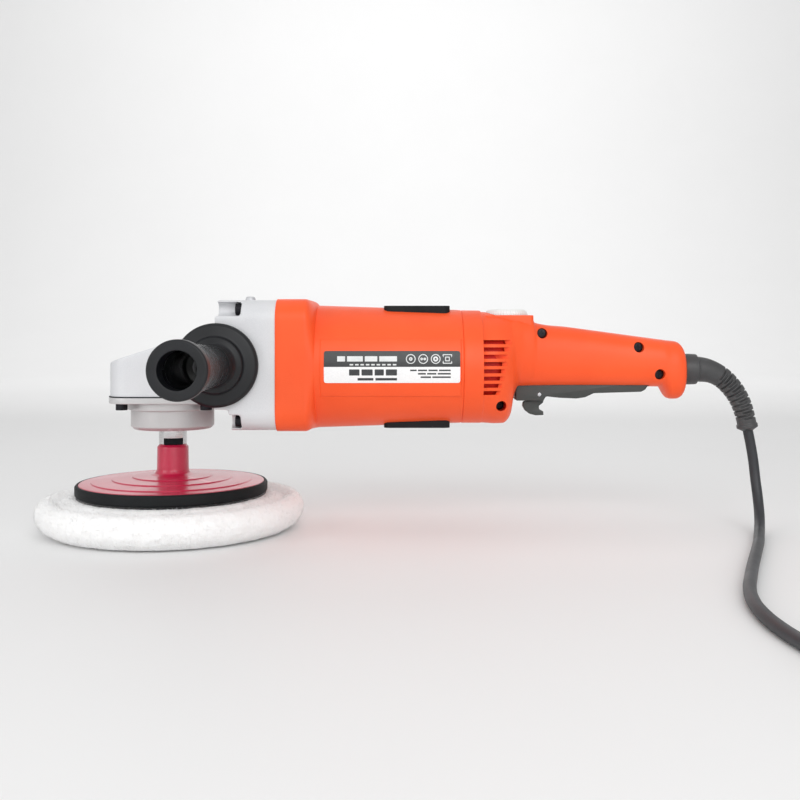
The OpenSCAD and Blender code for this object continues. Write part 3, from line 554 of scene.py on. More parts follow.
def coil_points(steps=18):
    """Two flat layers: in towards the middle on the floor, then out again on top of it."""
    out = []
    count = int(COIL_TURNS * steps)
    for i in range(1, 2 * count + 1):
        turn = i / steps
        inward = i <= count
        r = COIL_OUT - (COIL_OUT - COIL_IN) * (turn / COIL_TURNS if inward else 2 - turn / COIL_TURNS)
        angle = math.pi + 2 * math.pi * turn
        z = 4 + 7.5 * soft_step(COIL_TURNS - 0.22, COIL_TURNS + 0.22, turn)
        out.append((COIL_AT[0] + r * math.cos(angle), COIL_AT[1] + r * math.sin(angle), float(z)))
    return out


cord_points = CORD_LINE + coil_points() + [(PLUG_X, -353, 11.2), (PLUG_X, -341, 10.4), (PLUG_X, -329, 10),
                                           (PLUG_X, -322, 10)]
curve = bpy.data.curves.new("mains_cord", "CURVE")
curve.dimensions = "3D"
curve.bevel_depth = CORD_D / 2 * MM
curve.bevel_resolution = 5
curve.resolution_u = 8
curve.use_fill_caps = True
spline = curve.splines.new("BEZIER")
spline.bezier_points.add(len(cord_points) - 1)
for knot, p in zip(spline.bezier_points, cord_points):
    knot.co = [c * MM for c in p]
    knot.handle_left_type = knot.handle_right_type = "AUTO"
cord = placed("mains_cord", curve)
curve.materials.append(SHEATH)
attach(cord, "tool")
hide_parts("power_cord", "cord_coil")


def plug_body():
    """Moulded plug: ribbed strain relief, grip with finger ridges, and a broad rounded body."""
    y = np.concatenate([np.arange(-328.8, -299, 0.4), np.linspace(-299, -269, 61)])
    half_w = eased([-328.8, -300, -296, -289, -285, -271, -269], [5.2, 7.6, 10.5, 11.2, 17, 17.7, 16.6], y)
    half_h = eased([-328.8, -300, -296, -289, -285, -271, -269], [5.2, 7.3, 8.8, 9, 9.8, 9.9, 9.0], y)
    rib_wave = 0.5 + 0.5 * np.cos((y + 328) / 4.1 * 2 * math.pi)
    ribs = np.where(y < -300.5, 0.55 * soft_step(0.1, 0.75, rib_wave), 0)
    ridges = np.where((y > -284) & (y < -273), 0.35 * (0.5 + 0.5 * np.cos((y + 284) / 2.75 * 2 * math.pi)), 0)
    t = around(64)
    power = eased([-329, -300, -285, -269], [2, 2, 3.6, 4], y)[:, None]
    c, s = np.cos(t), np.sin(t)
    x = PLUG_X + (half_w - ribs - ridges)[:, None] * np.sign(c) * np.abs(c) ** (2 / power)
    z = PLUG_Z + (half_h - ribs - ridges * 0.4)[:, None] * np.sign(s) * np.abs(s) ** (2 / power)
    rows = np.stack([x, y[:, None] + 0 * t, z], -1)
    ob = build("plug_moulding", (rows, grid_faces(len(y), 64, caps=True)))
    cut(ob, *[cylinder("y", -281, -268, 2.22, (PLUG_X + s * PIN_OUT, PLUG_Z), 32) for s in (-1, 1)])
    return show(ob, "tool", "cord_sheath", "mains_plug")


def pins():
    prof = fillet([[0, -281], [2.2, -281], [2.2, -268.9], [2.4, -268.9], [2.4, -250], [0, -250]],
                  [0, 0.2, 0, 0, 1.2, 0], 6)
    ob = build("plug_contacts", *[turned(prof, "y", (PLUG_X + s * PIN_OUT, PLUG_Z), 32) for s in (-1, 1)])
    return show(ob, "tool", "plug_chrome", "plug_pins")


def coil_tie():
    """Hook-and-loop band round the coil's section, with its free end lapped over."""
    a = math.radians(205)
    out = np.array([math.cos(a), math.sin(a), 0])
    along = np.array([-math.sin(a), math.cos(a), 0])
    middle = np.array([COIL_AT[0], COIL_AT[1], 0]) + out * 46
    loop = np.array(rounded(17.4, 8.0, 5.0, 8))
    loop = np.concatenate([loop, loop[:14]])
    grow = np.where(np.arange(len(loop)) >= len(loop) - 14, 1.3, 0.0)
    grow[len(loop) - 15] = 0.6
    rows = []
    for side, deep in ((-9, 0.0), (-9, 1.1), (9, 1.1), (9, 0.0)):
        scale = 1 + (deep + grow[:, None]) / np.maximum(np.linalg.norm(loop, axis=1)[:, None], 1)
        ring = loop * scale
        rows.append(middle + out * ring[:, :1] + np.array([0, 0, 1.0]) * (ring[:, 1:] + 8.4) + along * side)
    rows = np.stack(rows, 1)
    rows[..., 2] = np.maximum(rows[..., 2], 0.05)
    ob = build("coil_tie", (rows, grid_faces(len(loop), 4, caps=True)))
    return show(ob, "tool", "cord_sheath", look=woven("tie_fabric", (58, 58, 62), (30, 30, 33), 700.0))


plug, contacts, tie = plug_body(), pins(), coil_tie()


# ---- pad, plate and spindle ----

def wool_pad():
    prof = fillet([[0, 0], [86, 0], [94, 1.6], [101, 6.5], [104.6, 11.5], [105.5, 16.5], [104, 22],
                   [100.5, 26], [96, 27.2], [92, 25.6], [88.6, 22.9], [85.5, 24.6], [80, 27.4], [0, 27.4]],
                  [0, 6, 6, 6, 6, 6, 6, 5, 4, 3, 2, 3, 5, 0], 4)
    s = distance_along(prof)
    at = np.concatenate([np.linspace(0, 60, 6), np.arange(62, 168, 1.15), np.linspace(170, s[-1], 6)])
    dense = np.stack([np.interp(at, s, prof[:, i]) for i in range(2)], -1)
    rows, faces = turned(dense, count=520)
    way = np.gradient(dense, axis=0)
    way /= np.linalg.norm(way, axis=1)[:, None]
    push = np.zeros(rows.shape[:2])
    for i, (r, z) in enumerate(dense):
        if r < 40:
            continue
        for j in range(rows.shape[1]):
            p = Vector(rows[i, j])
            push[i, j] = (noise.noise(p * 0.11) * 0.9 + noise.noise(p * 0.42) * 0.55
                          + noise.noise(p * 1.1) * 0.3)
    low = soft_step(0.0, 3.0, dense[:, 1])[:, None]
    push *= soft_step(60, 80, dense[:, 0])[:, None] * low * 0.62
    t = around(rows.shape[1])
    out = np.stack([way[:, 1:2] * np.cos(t), way[:, 1:2] * np.sin(t), -way[:, :1] + 0 * t], -1)
    rows = rows + out * push[..., None]
    ob = build("wool_fleece", (rows, faces))
    show(ob, "spindle_group", "wool", "wool_pad", sharp=180)
    return dense, way


THIRD_TURN = 2.0944


def tufts(dense, way, count=15000):
    """Loose strands that stand off the fleece, thickest where the rubber presses into it."""
    length = np.linalg.norm(np.diff(dense, axis=0), axis=1) * dense[1:, 0]
    usable = (dense[1:, 0] > 74) & (dense[1:, 1] > 2.2)
    share = length * usable
    pick = rng.choice(len(share), count, p=share / share.sum())
    points, faces = [], []
    for n, i in enumerate(pick):
        u = rng.random()
        r, z = dense[i] * (1 - u) + dense[i + 1] * u
        nr, nz = way[i, 1], -way[i, 0]
        a = rng.random() * 2 * math.pi
        if n % 6 == 0:  # these stand along the rubber's rim
            r, z, nr, nz = 76.3 + 1.4 * rng.random(), 26.4, 0.1, 1.0
        out = np.array([math.cos(a) * nr, math.sin(a) * nr, nz])
        round_ = np.array([-math.sin(a), math.cos(a), 0])
        down = np.cross(out, round_)
        lean = round_ * rng.normal(0, 0.8) + down * rng.normal(0, 0.8)
        base = np.array([math.cos(a) * r, math.sin(a) * r, z]) - out * 0.5
        long, wide = rng.uniform(1.3, 2.5), rng.uniform(0.10, 0.2)
        mid = base + (out + lean * 0.35) * long * 0.55
        tip = base + (out * 0.8 + lean * 0.9) * long
        tip[2] = max(tip[2], 0.4)
        ring = [math.cos(a) * round_ + math.sin(a) * down for a in (0, THIRD_TURN, 2 * THIRD_TURN)]
        b = len(points)
        points += [base + q * wide for q in ring] + [mid + q * wide * 0.7 for q in ring] + [tip]
        faces += [(b + k, b + (k + 1) % 3, b + 3 + (k + 1) % 3, b + 3 + k) for k in range(3)]
        faces += [(b + 3 + k, b + 3 + (k + 1) % 3, b + 6) for k in range(3)]
    data = bpy.data.meshes.new("wool_strands")
    data.from_pydata((np.array(points) * MM).tolist(), [], faces)
    show(placed("wool_strands", data), "spindle_group", "wool", sharp=180)


tufts(*wool_pad())

show(lathe("hook_face", [[0, 27.4], [75, 27.4], [75, 28.9], [0, 28.9]], 0.3),
     "spindle_group", "hook_fabric", "hook_disc")
show(lathe("rubber_disc", [[0, 28.9], [74.6, 28.9], [76, 30.3], [76, 36.4], [74.8, 37.8], [73.5, 37.8],
                           [73.5, 35.6], [16, 35.6], [16, 32], [0, 32]],
           [0, 0.6, 0.9, 0.9, 0.5, 0.2, 0, 0, 0, 0], count=192),
     "spindle_group", "black_rubber", "backing_rubber")
show(lathe("plate_and_hub", [[7, 32], [15.8, 32], [15.8, 35.6], [73.3, 35.6], [73.3, 38], [64, 38.7],
                             [63.2, 39.5], [48, 40.4], [47.2, 41.2], [32, 42], [31.2, 42.8], [17.5, 43.6],
                             [14, 44.8], [12.7, 47.6], [12.4, 66.2], [10.7, 68], [7, 68]],
           [0, 0, 0, 0.2, 1.1, 0.5, 0.4, 0.5, 0.4, 0.5, 0.4, 2, 2, 3, 1.2, 0.7, 0.3], count=192),
     "spindle_group", "plate_plastic", "backing_plate")

shaft = lathe("output_spindle", [[0, 44], [6.1, 44], [6.9, 45.2], [6.9, 68], [10.5, 68], [11.1, 68.6],
                                 [11.1, 84], [10, 84], [10, 97], [9, 97], [9, 124], [6, 124], [6, 140],
                                 [5.4, 140.6], [0, 140.6]], 0.15, count=96)
flats = build("tool", box((-20, 8.25, 67.9), (20, 20, 73.5)), box((-20, -20, 67.9), (20, -8.25, 73.5)))
flats.data.transform(Matrix.Rotation(FLATS_TURN, 4, "Z"))
combine(shaft, "DIFFERENCE", flats)
cut(shaft, box((6.5, -2, 112), (10, 2, 121)))
show(bevel(shaft, 0.25, 2), "spindle_group", "bright_steel", "spindle", look=SPINDLE)


# ---- gear head ----

COVER_SCREWS = [(x, y) for x in (-33, 33) for y in (-30, 30)]
BLOCK_SCREWS = [(y, z) for y in (-37, 37) for z in (-42.4, 44)]
SCREW_FACE = 62.5
BOSS_Y = 50.5
LOCK_X = 63.0


def nose(r):
    """Rounded front of the gear head's plan, at radius r."""
    turn = np.radians(np.arange(0, 91, 7.5))
    return ([(-26 - r * math.sin(t), 20.5 + r * math.cos(t)) for t in turn]
            + [(-26 - r * math.cos(t), -20.5 - r * math.sin(t)) for t in turn])


def cover():
    plan = [(35, -39.5), (41, -33.5), (41, 33.5), (35, 39.5)] + nose(19)
    ob = build("cover_casting", prism(plan, "z", 102.6, 107.5))
    bevel(ob, 0.7)
    body = lathe("cover_body", [[0, 81], [30.5, 81], [33, 83.5], [33, 96.8], [36, 96.8], [36, 104], [0, 104]],
                 [0, 1.6, 1.6, 0.8, 0.9, 0, 0], count=160)
    combine(ob, "UNION", body)
    cut(ob, cylinder("z", 80, 84.5, 17.03, (0, 0)))
    cut(ob, turned([[0, 84], [21.03, 84], [21.03, 96], [24.03, 96], [24.03, 98.6], [29, 98.6], [29, 108],
                    [0, 108]], count=96))
    cut(ob, *[cylinder("z", 100, 110, 2.7, p, 32) for p in COVER_SCREWS])
    show(ob, "tool", "cover_alloy", "gear_cover")


def under_slope(shift, low, side=60.0):
    """Shell under the head's sloping top, from a low plane up."""
    rise = 25.5 / 80  # slope of the top
    front = 134.5 + shift
    outline = [(-60, low), (60, low), (60, front + rise * 104), (-60, front - rise * 16)]
    return prism(outline, "y", -side, side)


def housing_casting():
    ob = build("head_casting", prism([(46, -38.5), (46, 38.5)] + nose(18), "z", 100, 180))
    combine(ob, "INTERSECT", build("tool", under_slope(0, 90)))
    block = build("tool", prism([(y, z + 132.8) for y, z in rounded(49, 50.5, 16, 12)], "x", 43, 95))
    cut(block, box((40, -60, 70), (53.5, 60, 99)))
    combine(ob, "UNION", block)
    combine(ob, "UNION", build("tool", cylinder("y", -BOSS_Y - 5, BOSS_Y + 5, 15, (GRIP_X, GRIP_Z), 96)))
    screw_grooves = []
    for y, z in BLOCK_SCREWS:
        side = 1 if y > 0 else -1
        half = [(y + 5.3 * math.cos(t), AXIS_Z + z + 5.3 * math.sin(t))
                for t in np.linspace(math.pi / 2, 1.5 * math.pi, 13) + (0 if side > 0 else math.pi)]
        half += [(side * 60, half[-1][1]), (side * 60, half[0][1])]
        screw_grooves.append(prism(half, "x", 38, SCREW_FACE))
    cut(ob, *screw_grooves)
    modify(ob, "REMESH", mode="VOXEL", voxel_size=0.9 * MM, use_smooth_shade=True)
    modify(ob, "SMOOTH", factor=0.5, iterations=7)
    baked(ob)
    # machined faces, cavities, wells and outlets stay crisp
    cut(ob, box((-70, -70, 60), (43.0, 70, 108.3)))
    cut(ob, box((89, -70, 60), (110, 70, 200)))
    for side in (-1, 1):
        near, far = sorted((side * BOSS_Y, side * 70))
        cut(ob, box((20, near, 90), (80, far, 190)))
    chamber = build("tool", cylinder("z", 107.3, 165, 33.5, (0, 0), 96))
    combine(chamber, "INTERSECT", build("tool", under_slope(-4.5, 100)))
    cut(chamber, cylinder("z", 130, 170, 13, (0, 0), 48))
    cut(chamber, box((36.5, -60, 100), (60, 60, 170)))
    combine(ob, "DIFFERENCE", chamber)
    fan = build("tool", cylinder("x", 60, 90, 44, (0, AXIS_Z), 96))
    cut(fan, cylinder("z", 166, 177, 6.5, (LOCK_X, 0), 48))
    combine(ob, "DIFFERENCE", fan)
    cut(ob, turned([[0, 14], [13, 14], [13, 44], [16.03, 44], [16.03, 54], [12, 54], [12, 61], [0, 61]], "x",
                   (0, AXIS_Z), 64))
    cut(ob, turned([[0, 129], [10.03, 129], [10.03, 140.8], [0, 140.8]], count=48))
    cut(ob, turned([[0, 165], [2.05, 165], [2.05, 171], [4.38, 171], [4.38, 190], [0, 190]], "z",
                   (LOCK_X, 0), 40))
    cut(ob, *both_sides(BOSS_Y - 20, BOSS_Y + 1, 4, (GRIP_X, GRIP_Z), 40))
    cut(ob, *[cylinder("x", SCREW_FACE - 2, 90, 2.7, (y, AXIS_Z + z), 24) for y, z in BLOCK_SCREWS],
        *[cylinder("z", 107.5, 120, 2.5, p, 24) for p in COVER_SCREWS])
    cut(ob, *[box((40, s * 21 - 5.5, 161 + i * 4.6), (62, s * 21 + 5.5, 163.4 + i * 4.6))
              for s in (-1, 1) for i in range(4)],
        *[box((40, s * 18 - 6, 88 + i * 5), (62, s * 18 + 6, 90.6 + i * 5))
          for s in (-1, 1) for i in range(2)])
    show(ob, "tool", "cast_alloy", "gear_housing", sharp=50)


cover()
housing_casting()
show(lathe("lock_button_cap", [[0, 151], [2, 151], [2, 179.2], [4.3, 179.2], [4.3, 184.6], [3.4, 187.5],
                               [0, 187.5]],
           [0, 0.4, 0, 0.2, 1.0, 1.6, 0], "z", (LOCK_X, 0), 64, 5),
     "lock_button", "button_steel", "shaft_lock_button")


def lock_spring():
    """Coil under the lock button's cap."""
    full = 2 * math.pi
    turn = np.linspace(0, 4.5 * full, 145)
    z = np.interp(turn / full, [0, 0.75, 3.75, 4.5], [171.5, 172.1, 178.1, 178.7])[:, None]
    t = np.arange(10) * full / 10
    r = 3.1 + 0.4 * np.cos(t)
    rows = np.stack([LOCK_X + r * np.cos(turn)[:, None], r * np.sin(turn)[:, None], z + 0.4 * np.sin(t)], -1)
    ob = build("lock_spring_coil", (rows, grid_faces(len(turn), 10, caps=True)))
    show(ob, "tool", "bright_steel", "shaft_lock_spring")
    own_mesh(ob)


lock_spring()


# ---- motor housing ----

def square_reach(t, a, b, r, up):
    """Distance from the motor's axis to a rounded rectangle, in each direction t."""
    low, high = np.zeros_like(t), np.full_like(t, 90.0)
    for _ in range(40):
        mid = (low + high) / 2
        qx = np.abs(mid * np.cos(t)) - (a - r)
        qz = np.abs(mid * np.sin(t) - up) - (b - r)
        inside = np.hypot(np.maximum(qx, 0), np.maximum(qz, 0)) + np.minimum(np.maximum(qx, qz), 0) < r
        low, high = np.where(inside, mid, low), np.where(inside, high, mid)
    return low


def motor_shell():
    """Square collar that shoulders down to a tapering tube, with a flat-edged panel on each side."""
    quarter = np.concatenate([np.arange(0, 23.8, 2.0), np.arange(23.8, 30.6, 0.25), np.arange(31, 88, 2.0)])
    t = np.radians(np.concatenate([quarter, 180 - quarter[::-1], 180 + quarter, 360 - quarter[::-1][:-1]]))
    t = np.unique(np.round(t, 6))
    x = np.concatenate([[89, 89.08, 89.3, 89.7], np.arange(92, 110, 2.5), np.arange(110.4, 119.6, 0.35),
                        [119.9, 121, 123, 123.3, 123.6, 124.2], np.arange(126, 231, 3.5),
                        [230.9, 231.2, 231.5, 232.4, 233.0, 233.3, 233.45, SPLIT_X]])
    lip = np.interp(x, [89, 89.08, 89.3, 89.7, 232.9, 233.0, 233.3, 233.45, SPLIT_X],
                    [0.7, 0.35, 0.1, 0, 0, 0.08, 0.3, 0.5, 0.75])[:, None]
    square = square_reach(t, 50.2, 51.3, 17, AXIS_Z + 0.8 - TUBE_Z)[None]
    pipe = (49.42 + (45.6 - 49.42) * (x - 113) / 120.5)[:, None]
    shoulder = (1 - np.clip((x - 110.8) / 7.8, 0, 1) ** 2)[:, None] ** 0.6
    r = pipe + np.maximum(square - pipe, 0) * shoulder
    panel = (49.6 + (46.75 - 49.6) * (x - PANEL_X) / PANEL_LONG)[:, None]
    mask = soft_step(21.95, 21.45, np.abs(r * np.sin(t)[None]))
    mask = mask * (soft_step(123, 123.7, x) * soft_step(231.5, 230.9, x))[:, None]
    r = r + np.maximum(panel - r, 0) * mask - lip
    outer = np.stack([x[:, None] + 0 * r, r * np.cos(t), TUBE_Z + r * np.sin(t)], -1)
    ix = np.array([SPLIT_X, 200, 160, 113.5, 113.5, 89])[:, None]
    ir = np.array([42.4, 43.3, 44.3, 45.4, 45.5, 45.5])[:, None]
    inner = np.stack([ix + 0 * t, ir * np.cos(t), AXIS_Z + ir * np.sin(t)], -1)
    rows = np.concatenate([outer, inner])
    ob = build("motor_shell", (rows, grid_faces(len(rows), len(t), ring=True)))
    cut(ob, *[cylinder("x", 88, 111.5, 2.5, (y, AXIS_Z + z), 24) for y, z in BLOCK_SCREWS])
    show(ob, "tool", "housing_plastic", "motor_housing", sharp=32)


def bumper(side):
    """Pad above or below the tube, with three shallow lengthwise grooves in its face."""
    z = TUBE_Z + side * 48.5
    low, high = sorted((TUBE_Z + side * 36, z))
    ob = build("bumper_top" if side > 0 else "bumper_bottom",
               prism([(x + 197.75, y) for x, y in rounded(26.25, 18, 5)], "z", low, high))
    cut(ob, *[box((180, y - 0.8, z - 0.5), (215.5, y + 0.8, z + 0.5)) for y in (-8, 0, 8)])
    bevel(ob, 0.8, 3, 40)
    cut(ob, turned([[0, 113], [49.44, 113], [45.62, SPLIT_X], [0, SPLIT_X]], "x", (0, TUBE_Z), 160))
    show(ob, "tool", "black_rubber", *(("bumper_pads",) if side > 0 else ()))


motor_shell()
bumper(1)
bumper(-1)


def label():
    """Film on the side panel, with plain bars and generic symbols where print would be."""
    ink = 0.47  # how far the print's face stands off the panel

    def on_panel(x, z, lift):
        r = 49.64 + (46.74 - 49.64) * (x - PANEL_X) / PANEL_LONG + lift
        return np.stack([x, -np.sqrt(r * r - (z - TUBE_Z) ** 2), z], -1)

    def bar(x0, x1, z0, z1, r=0.2):
        """Thin raised bar with rounded corners, laid on the panel."""
        a, b = (x1 - x0) / 2, (z1 - z0) / 2
        outline = np.array(rounded(a, b, min(r, a * 0.9, b * 0.9), 3)) + [(x0 + x1) / 2, (z0 + z1) / 2]
        centre = outline.mean(0)
        rows = [on_panel(*outline.T, ink - 0.1)]
        rows += [on_panel(*(centre + (outline - centre) * f).T, ink) for f in (1, 0.8, 0.6, 0.4, 0.2, 0.02)]
        return np.stack(rows), grid_faces(len(rows), len(outline), caps=True)

    def sheet():
        x = np.concatenate([[126.4, 126.55], np.linspace(127.5, 229.2, 52), [230.15, 230.3]])
        z = np.concatenate([[119.5, 119.65], np.linspace(120.3, 143.1, 24), [143.75, 143.9]])
        gx, gz = np.meshgrid(x, z, indexing="ij")
        cx, cz = np.clip(gx, 128.1, 228.6), np.clip(gz, 121.2, 142.2)
        d = np.hypot(gx - cx, gz - cz)
        k = np.where(d > 1.7, 1.7 / np.maximum(d, 1e-9), 1)
        gx, gz = cx + (gx - cx) * k, cz + (gz - cz) * k
        return slab(on_panel(gx, gz, 0.42), on_panel(gx, gz, 0.05))

    show(build("label_film", sheet()), "tool", "label", "rating_label", sharp=60)
    light = [bar(*x, 135.9, 139.9) for x in ((136.5, 142.5), (144, 156), (157.5, 167), (168.5, 182))]
    light += [bar(146 + 4.1 * k, 148.7 + 4.1 * k, 132.9, 134.0) for k in range(9)]
    dark = [bar(*x, 125.2, 129.9, 0.5) for x in ((145.5, 153.5), (155, 163.5), (165, 172), (173.5, 182))]
    dark += [bar(*x, 121.4, 123.3) for x in ((152, 164), (165.6, 182))]
    for z, starts in ((129.1, (192, 198, 206, 214)), (126.5, (198, 205, 213)), (123.9, (200, 209))):
        dark += [bar(a, b - 1, z - 0.6, z + 0.6) for a, b in zip(starts, starts[1:] + (224,))]

    def ring(cx, cz, r0, r1, square=False):
        """Flat ring symbol, round or square."""
        if square:
            o, i = (np.array(rounded(r, r, 0.5 if r > 2 else 0.3, 4)) for r in (r0, r1))
        else:
            t = around(40)
            o, i = (np.stack([r * np.cos(t), r * np.sin(t)], -1) for r in (r0, r1))
        o, i = o + [cx, cz], i + [cx, cz]
        rows = np.stack([on_panel(*a.T, lift) for a, lift in ((o, 0.38), (o, ink), (i, ink), (i, 0.38))])
        return rows, grid_faces(4, len(o), ring=True)

    for k, cx in enumerate((192.5, 202, 211.5)):
        light.append(ring(cx, 137.8, 3.7, 3.05))
        inner = [(0, 0.9)] if k == 0 else [(-1.2, 0.55), (1.2, 0.55)] if k == 1 else [(0, 1.5)]
        for dx, r in inner:
            light.append(ring(cx + dx, 137.8, r + 0.45, r * 0.5))
    light.append(ring(220.5, 137.8, 3.6, 2.95, True))
    light.append(ring(220.5, 137.8, 1.75, 1.1, True))
    light_look = moulded("label_light_ink", (226, 228, 228), (216, 218, 218), (0.34, 0.42), patch=200.0)
    dark_look = moulded("label_dark_ink", (60, 62, 64), (50, 52, 54), (0.34, 0.42), patch=200.0)
    show(build("label_symbols", *light), "tool", "label", look=light_look, sharp=60)
    show(build("label_bars", *dark), "tool", "label", look=dark_look, sharp=60)


label()


# ---- rear handle ----

# X, bottom, top, half width, squareness, shift of the inner surface
STATIONS = np.array([
    [SPLIT_X, 85.3, 176.4, 45.6, 2, 0], [248.4, 85.3, 176.2, 45.4, 2, 0],
    [249.6, 85.5, 175.2, 44.2, 2, 0], [260, 85, 174.6, 41.5, 2.1, 0], [266.8, 85.2, 174, 37.5, 2.2, -2],
    [272.4, 90.6, 173.4, 32, 2.3, -2.8], [274.8, 105.2, 173.1, 29, 2.4, -2.8],
    [279.4, 114.7, 172.7, 26, 2.5, -2.8], [290, 114.7, 171.8, 22.8, 2.5, -2.8],
    [292.8, 114.7, 166.6, 22, 2.5, -2.8], [320, 114.7, 162.9, 20, 2.5, 0],
    [360, 114.7, 157.5, 19.5, 2.5, 0], [394, 114.7, 152.9, 19.3, 2.5, 2.4],
    [400.8, 105.4, 152, 19.2, 2.5, 2.4], [404, 104.7, 151.7, 19.1, 2.5, 0.8],
    [407.5, 104.9, 151, 18.6, 2.5, 0], [410.2, 106.2, 149, 17.6, 2.5, -1],
    [412.2, 108.6, 146, 15.8, 2.4, -2], [413.1, 111.2, 142.8, 13.8, 2.3, -2.6],
    [413.4, 114, 140, 12, 2.2, -2.8]])
HANDLE_END = 413.4
WALL = 2.8
RING = 112  # points round each of the handle's rings
HANDLE_SCREWS = [(297.3, 157.6), (374.1, 146.5), (390.7, 125), (263.3, 100.7)]
HINGE = (378.0, 121.5)
LOCK_PIN = (296.2, 108.5)
DIAL_X = 270.5
CLAMP_X = 402.3


def handle_at(x):
    """Bottom, top, half width and squareness of the handle at each x."""
    return [eased(STATIONS[:, 0], STATIONS[:, k], x) for k in range(1, 5)]


def handle_side(x, z):
    """Half width of the handle at one place on its side."""
    low, high, wide, power = (float(v[0]) for v in handle_at([x]))
    return wide * max(0.0, 1 - abs((z - (low + high) / 2) / ((high - low) / 2)) ** power) ** (1 / power)


def handle_rows(x, inset, shift=None):
    low, high, wide, power = (v[:, None] for v in handle_at(x))
    if shift is not None:
        x = x + shift
    inset = np.asarray(inset, float).reshape(-1, 1)
    t = (np.arange(RING) + 0.5) * 2 * math.pi / RING
    c, s = np.cos(t), np.sin(t)
    y = (wide - inset) * np.sign(c) * np.abs(c) ** (2 / power)
    z = (low + high) / 2 + ((high - low) / 2 - inset) * np.sign(s) * np.abs(s) ** (2 / power)
    return np.stack([x[:, None] + 0 * y, y, z], -1)


def handle_shells():
    x = np.concatenate([[SPLIT_X, 233.56, 233.8, 234.2], np.arange(236, 247, 2.5), np.arange(247, 251, 0.3),
                        np.arange(251.5, 265, 1.5), np.arange(265, 296, 0.6), np.arange(297, 390, 3.0),
                        np.arange(390, 403, 0.6), np.arange(403.5, 409, 0.8), np.arange(409, 412.8, 0.3),
                        [412.9, 413.05, 413.2, 413.3, HANDLE_END]])
    lip = np.interp(x, [SPLIT_X, 233.56, 233.8, 234.2, HANDLE_END], [0.75, 0.5, 0.15, 0, 0])
    outer = handle_rows(x, lip)
    inner_x = np.concatenate([[SPLIT_X, 240, 248], np.arange(250, 296, 2.0), np.arange(297, 390, 6.0),
                              np.arange(390, 412, 1.5), [412.6, 413.1, HANDLE_END]])
    shift = np.interp(inner_x, STATIONS[:, 0], STATIONS[:, 5])
    inner = handle_rows(inner_x, WALL, shift)[::-1]
    rows = np.concatenate([inner, outer])
    ob = build("tool_shell", (rows, grid_faces(len(rows), RING, caps=True)))
    seat = bevel(build("tool", prism([(x + 271, y) for x, y in rounded(19.5, 18.5, 3)], "z", 150, 172)), 0.8)
    hollow = build("tool", (inner, grid_faces(len(inner), RING, caps=True)))
    combine(ob, "UNION", combine(seat, "DIFFERENCE", hollow))
    posts = build("tool", *[cylinder("y", -40, 40, 5.4, p, 32) for p in HANDLE_SCREWS])
    hinge_posts = build("tool", *both_sides(10.5, 30, 5.4, HINGE, 32))
    for post in (posts, hinge_posts):
        solid = handle_rows(x, 0.6)
        combine(post, "INTERSECT", build("tool", (solid, grid_faces(len(solid), RING, caps=True))))
        combine(ob, "UNION", post)
    # trigger opening, dial well, cord outlet
    cut(ob, box((274.9, -9.5, 95), (384.6, 9.5, 121.2)))
    cut(ob, cylinder("z", 168, 190, 17.7, (DIAL_X, 0), 96))
    cut(ob, turned([[0, 404], [8.65, 404], [8.65, 407], [11.15, 407], [11.15, 410.4], [8.65, 410.4],
                    [8.65, 420], [0, 420]], "x", (0, OUTLET_Z), 48))
    # cooling slots, whose floors climb out to the surface at the rear
    slots = []
    for i in range(8):
        z, end = 149 - 5.6 * i, 271.1 - 1.32 * i
        for s in (-1, 1):
            y_in = handle_side(end - 6, z + 1.6) - 5.5
            y_out = handle_side(end, z + 1.6)
            outline = [(248.6, s * y_in), (end - 6, s * y_in), (end, s * (y_out - 0.2)), (end + 3, s * 60),
                       (248.6, s * 60)]
            slots.append(prism(outline, "z", z, z + 3.2))
    cut(ob, *slots[::2])
    cut(ob, *slots[1::2])
    for px, pz in HANDLE_SCREWS:
        cut(ob, turned([[0, -60], [4.2, -60], [4.2, -11], [2, -11], [2, 0.5], [0, 0.5]], "y", (px, pz), 40))
        cut(ob, cylinder("y", 0, 9, 1.7, (px, pz), 24))
    cut(ob, *both_sides(9, 13.5, 2.6, HINGE, 32))
    other = ob.copy()
    other.data = ob.data.copy()
    scene.collection.objects.link(other)
    for half, side, name in ((ob, -1, "left"), (other, 1, "right")):
        low, high = sorted((side * 0.1, side * 70))
        combine(half, "INTERSECT", build("tool", box((220, low, 70), (430, high, 200))))
        half.name = "handle_half_" + name
        show(half, "tool", "housing_plastic", "handle_shell_" + name, sharp=36)


def vent_screen():
    """Baffle behind the cooling slots, one each side, coloured darker and redder than the housing as painted
    shade for the shadowed inside seen through the slots.
    """
    shells = []
    for side in (-1, 1):
        x, z = np.meshgrid(np.linspace(246, 273, 14), np.linspace(105, 157, 20), indexing="ij")
        y = np.array([[handle_side(a, b) for a, b in zip(r, q)] for r, q in zip(x, z)])
        front, back = (np.stack([x, side * (y - d), z], -1) for d in (7.0, 8.2))
        shells.append(slab(front, back, order=1))
    # painted shade: this darker red stands for the orange housing's inside in shadow
    shade = moulded("vent_screen_painted_shade", (232, 40, 16), (208, 30, 11), (0.5, 0.6))
    show(build("vent_screen", *shells), "tool", "housing_plastic", look=shade)


handle_shells()
vent_screen()


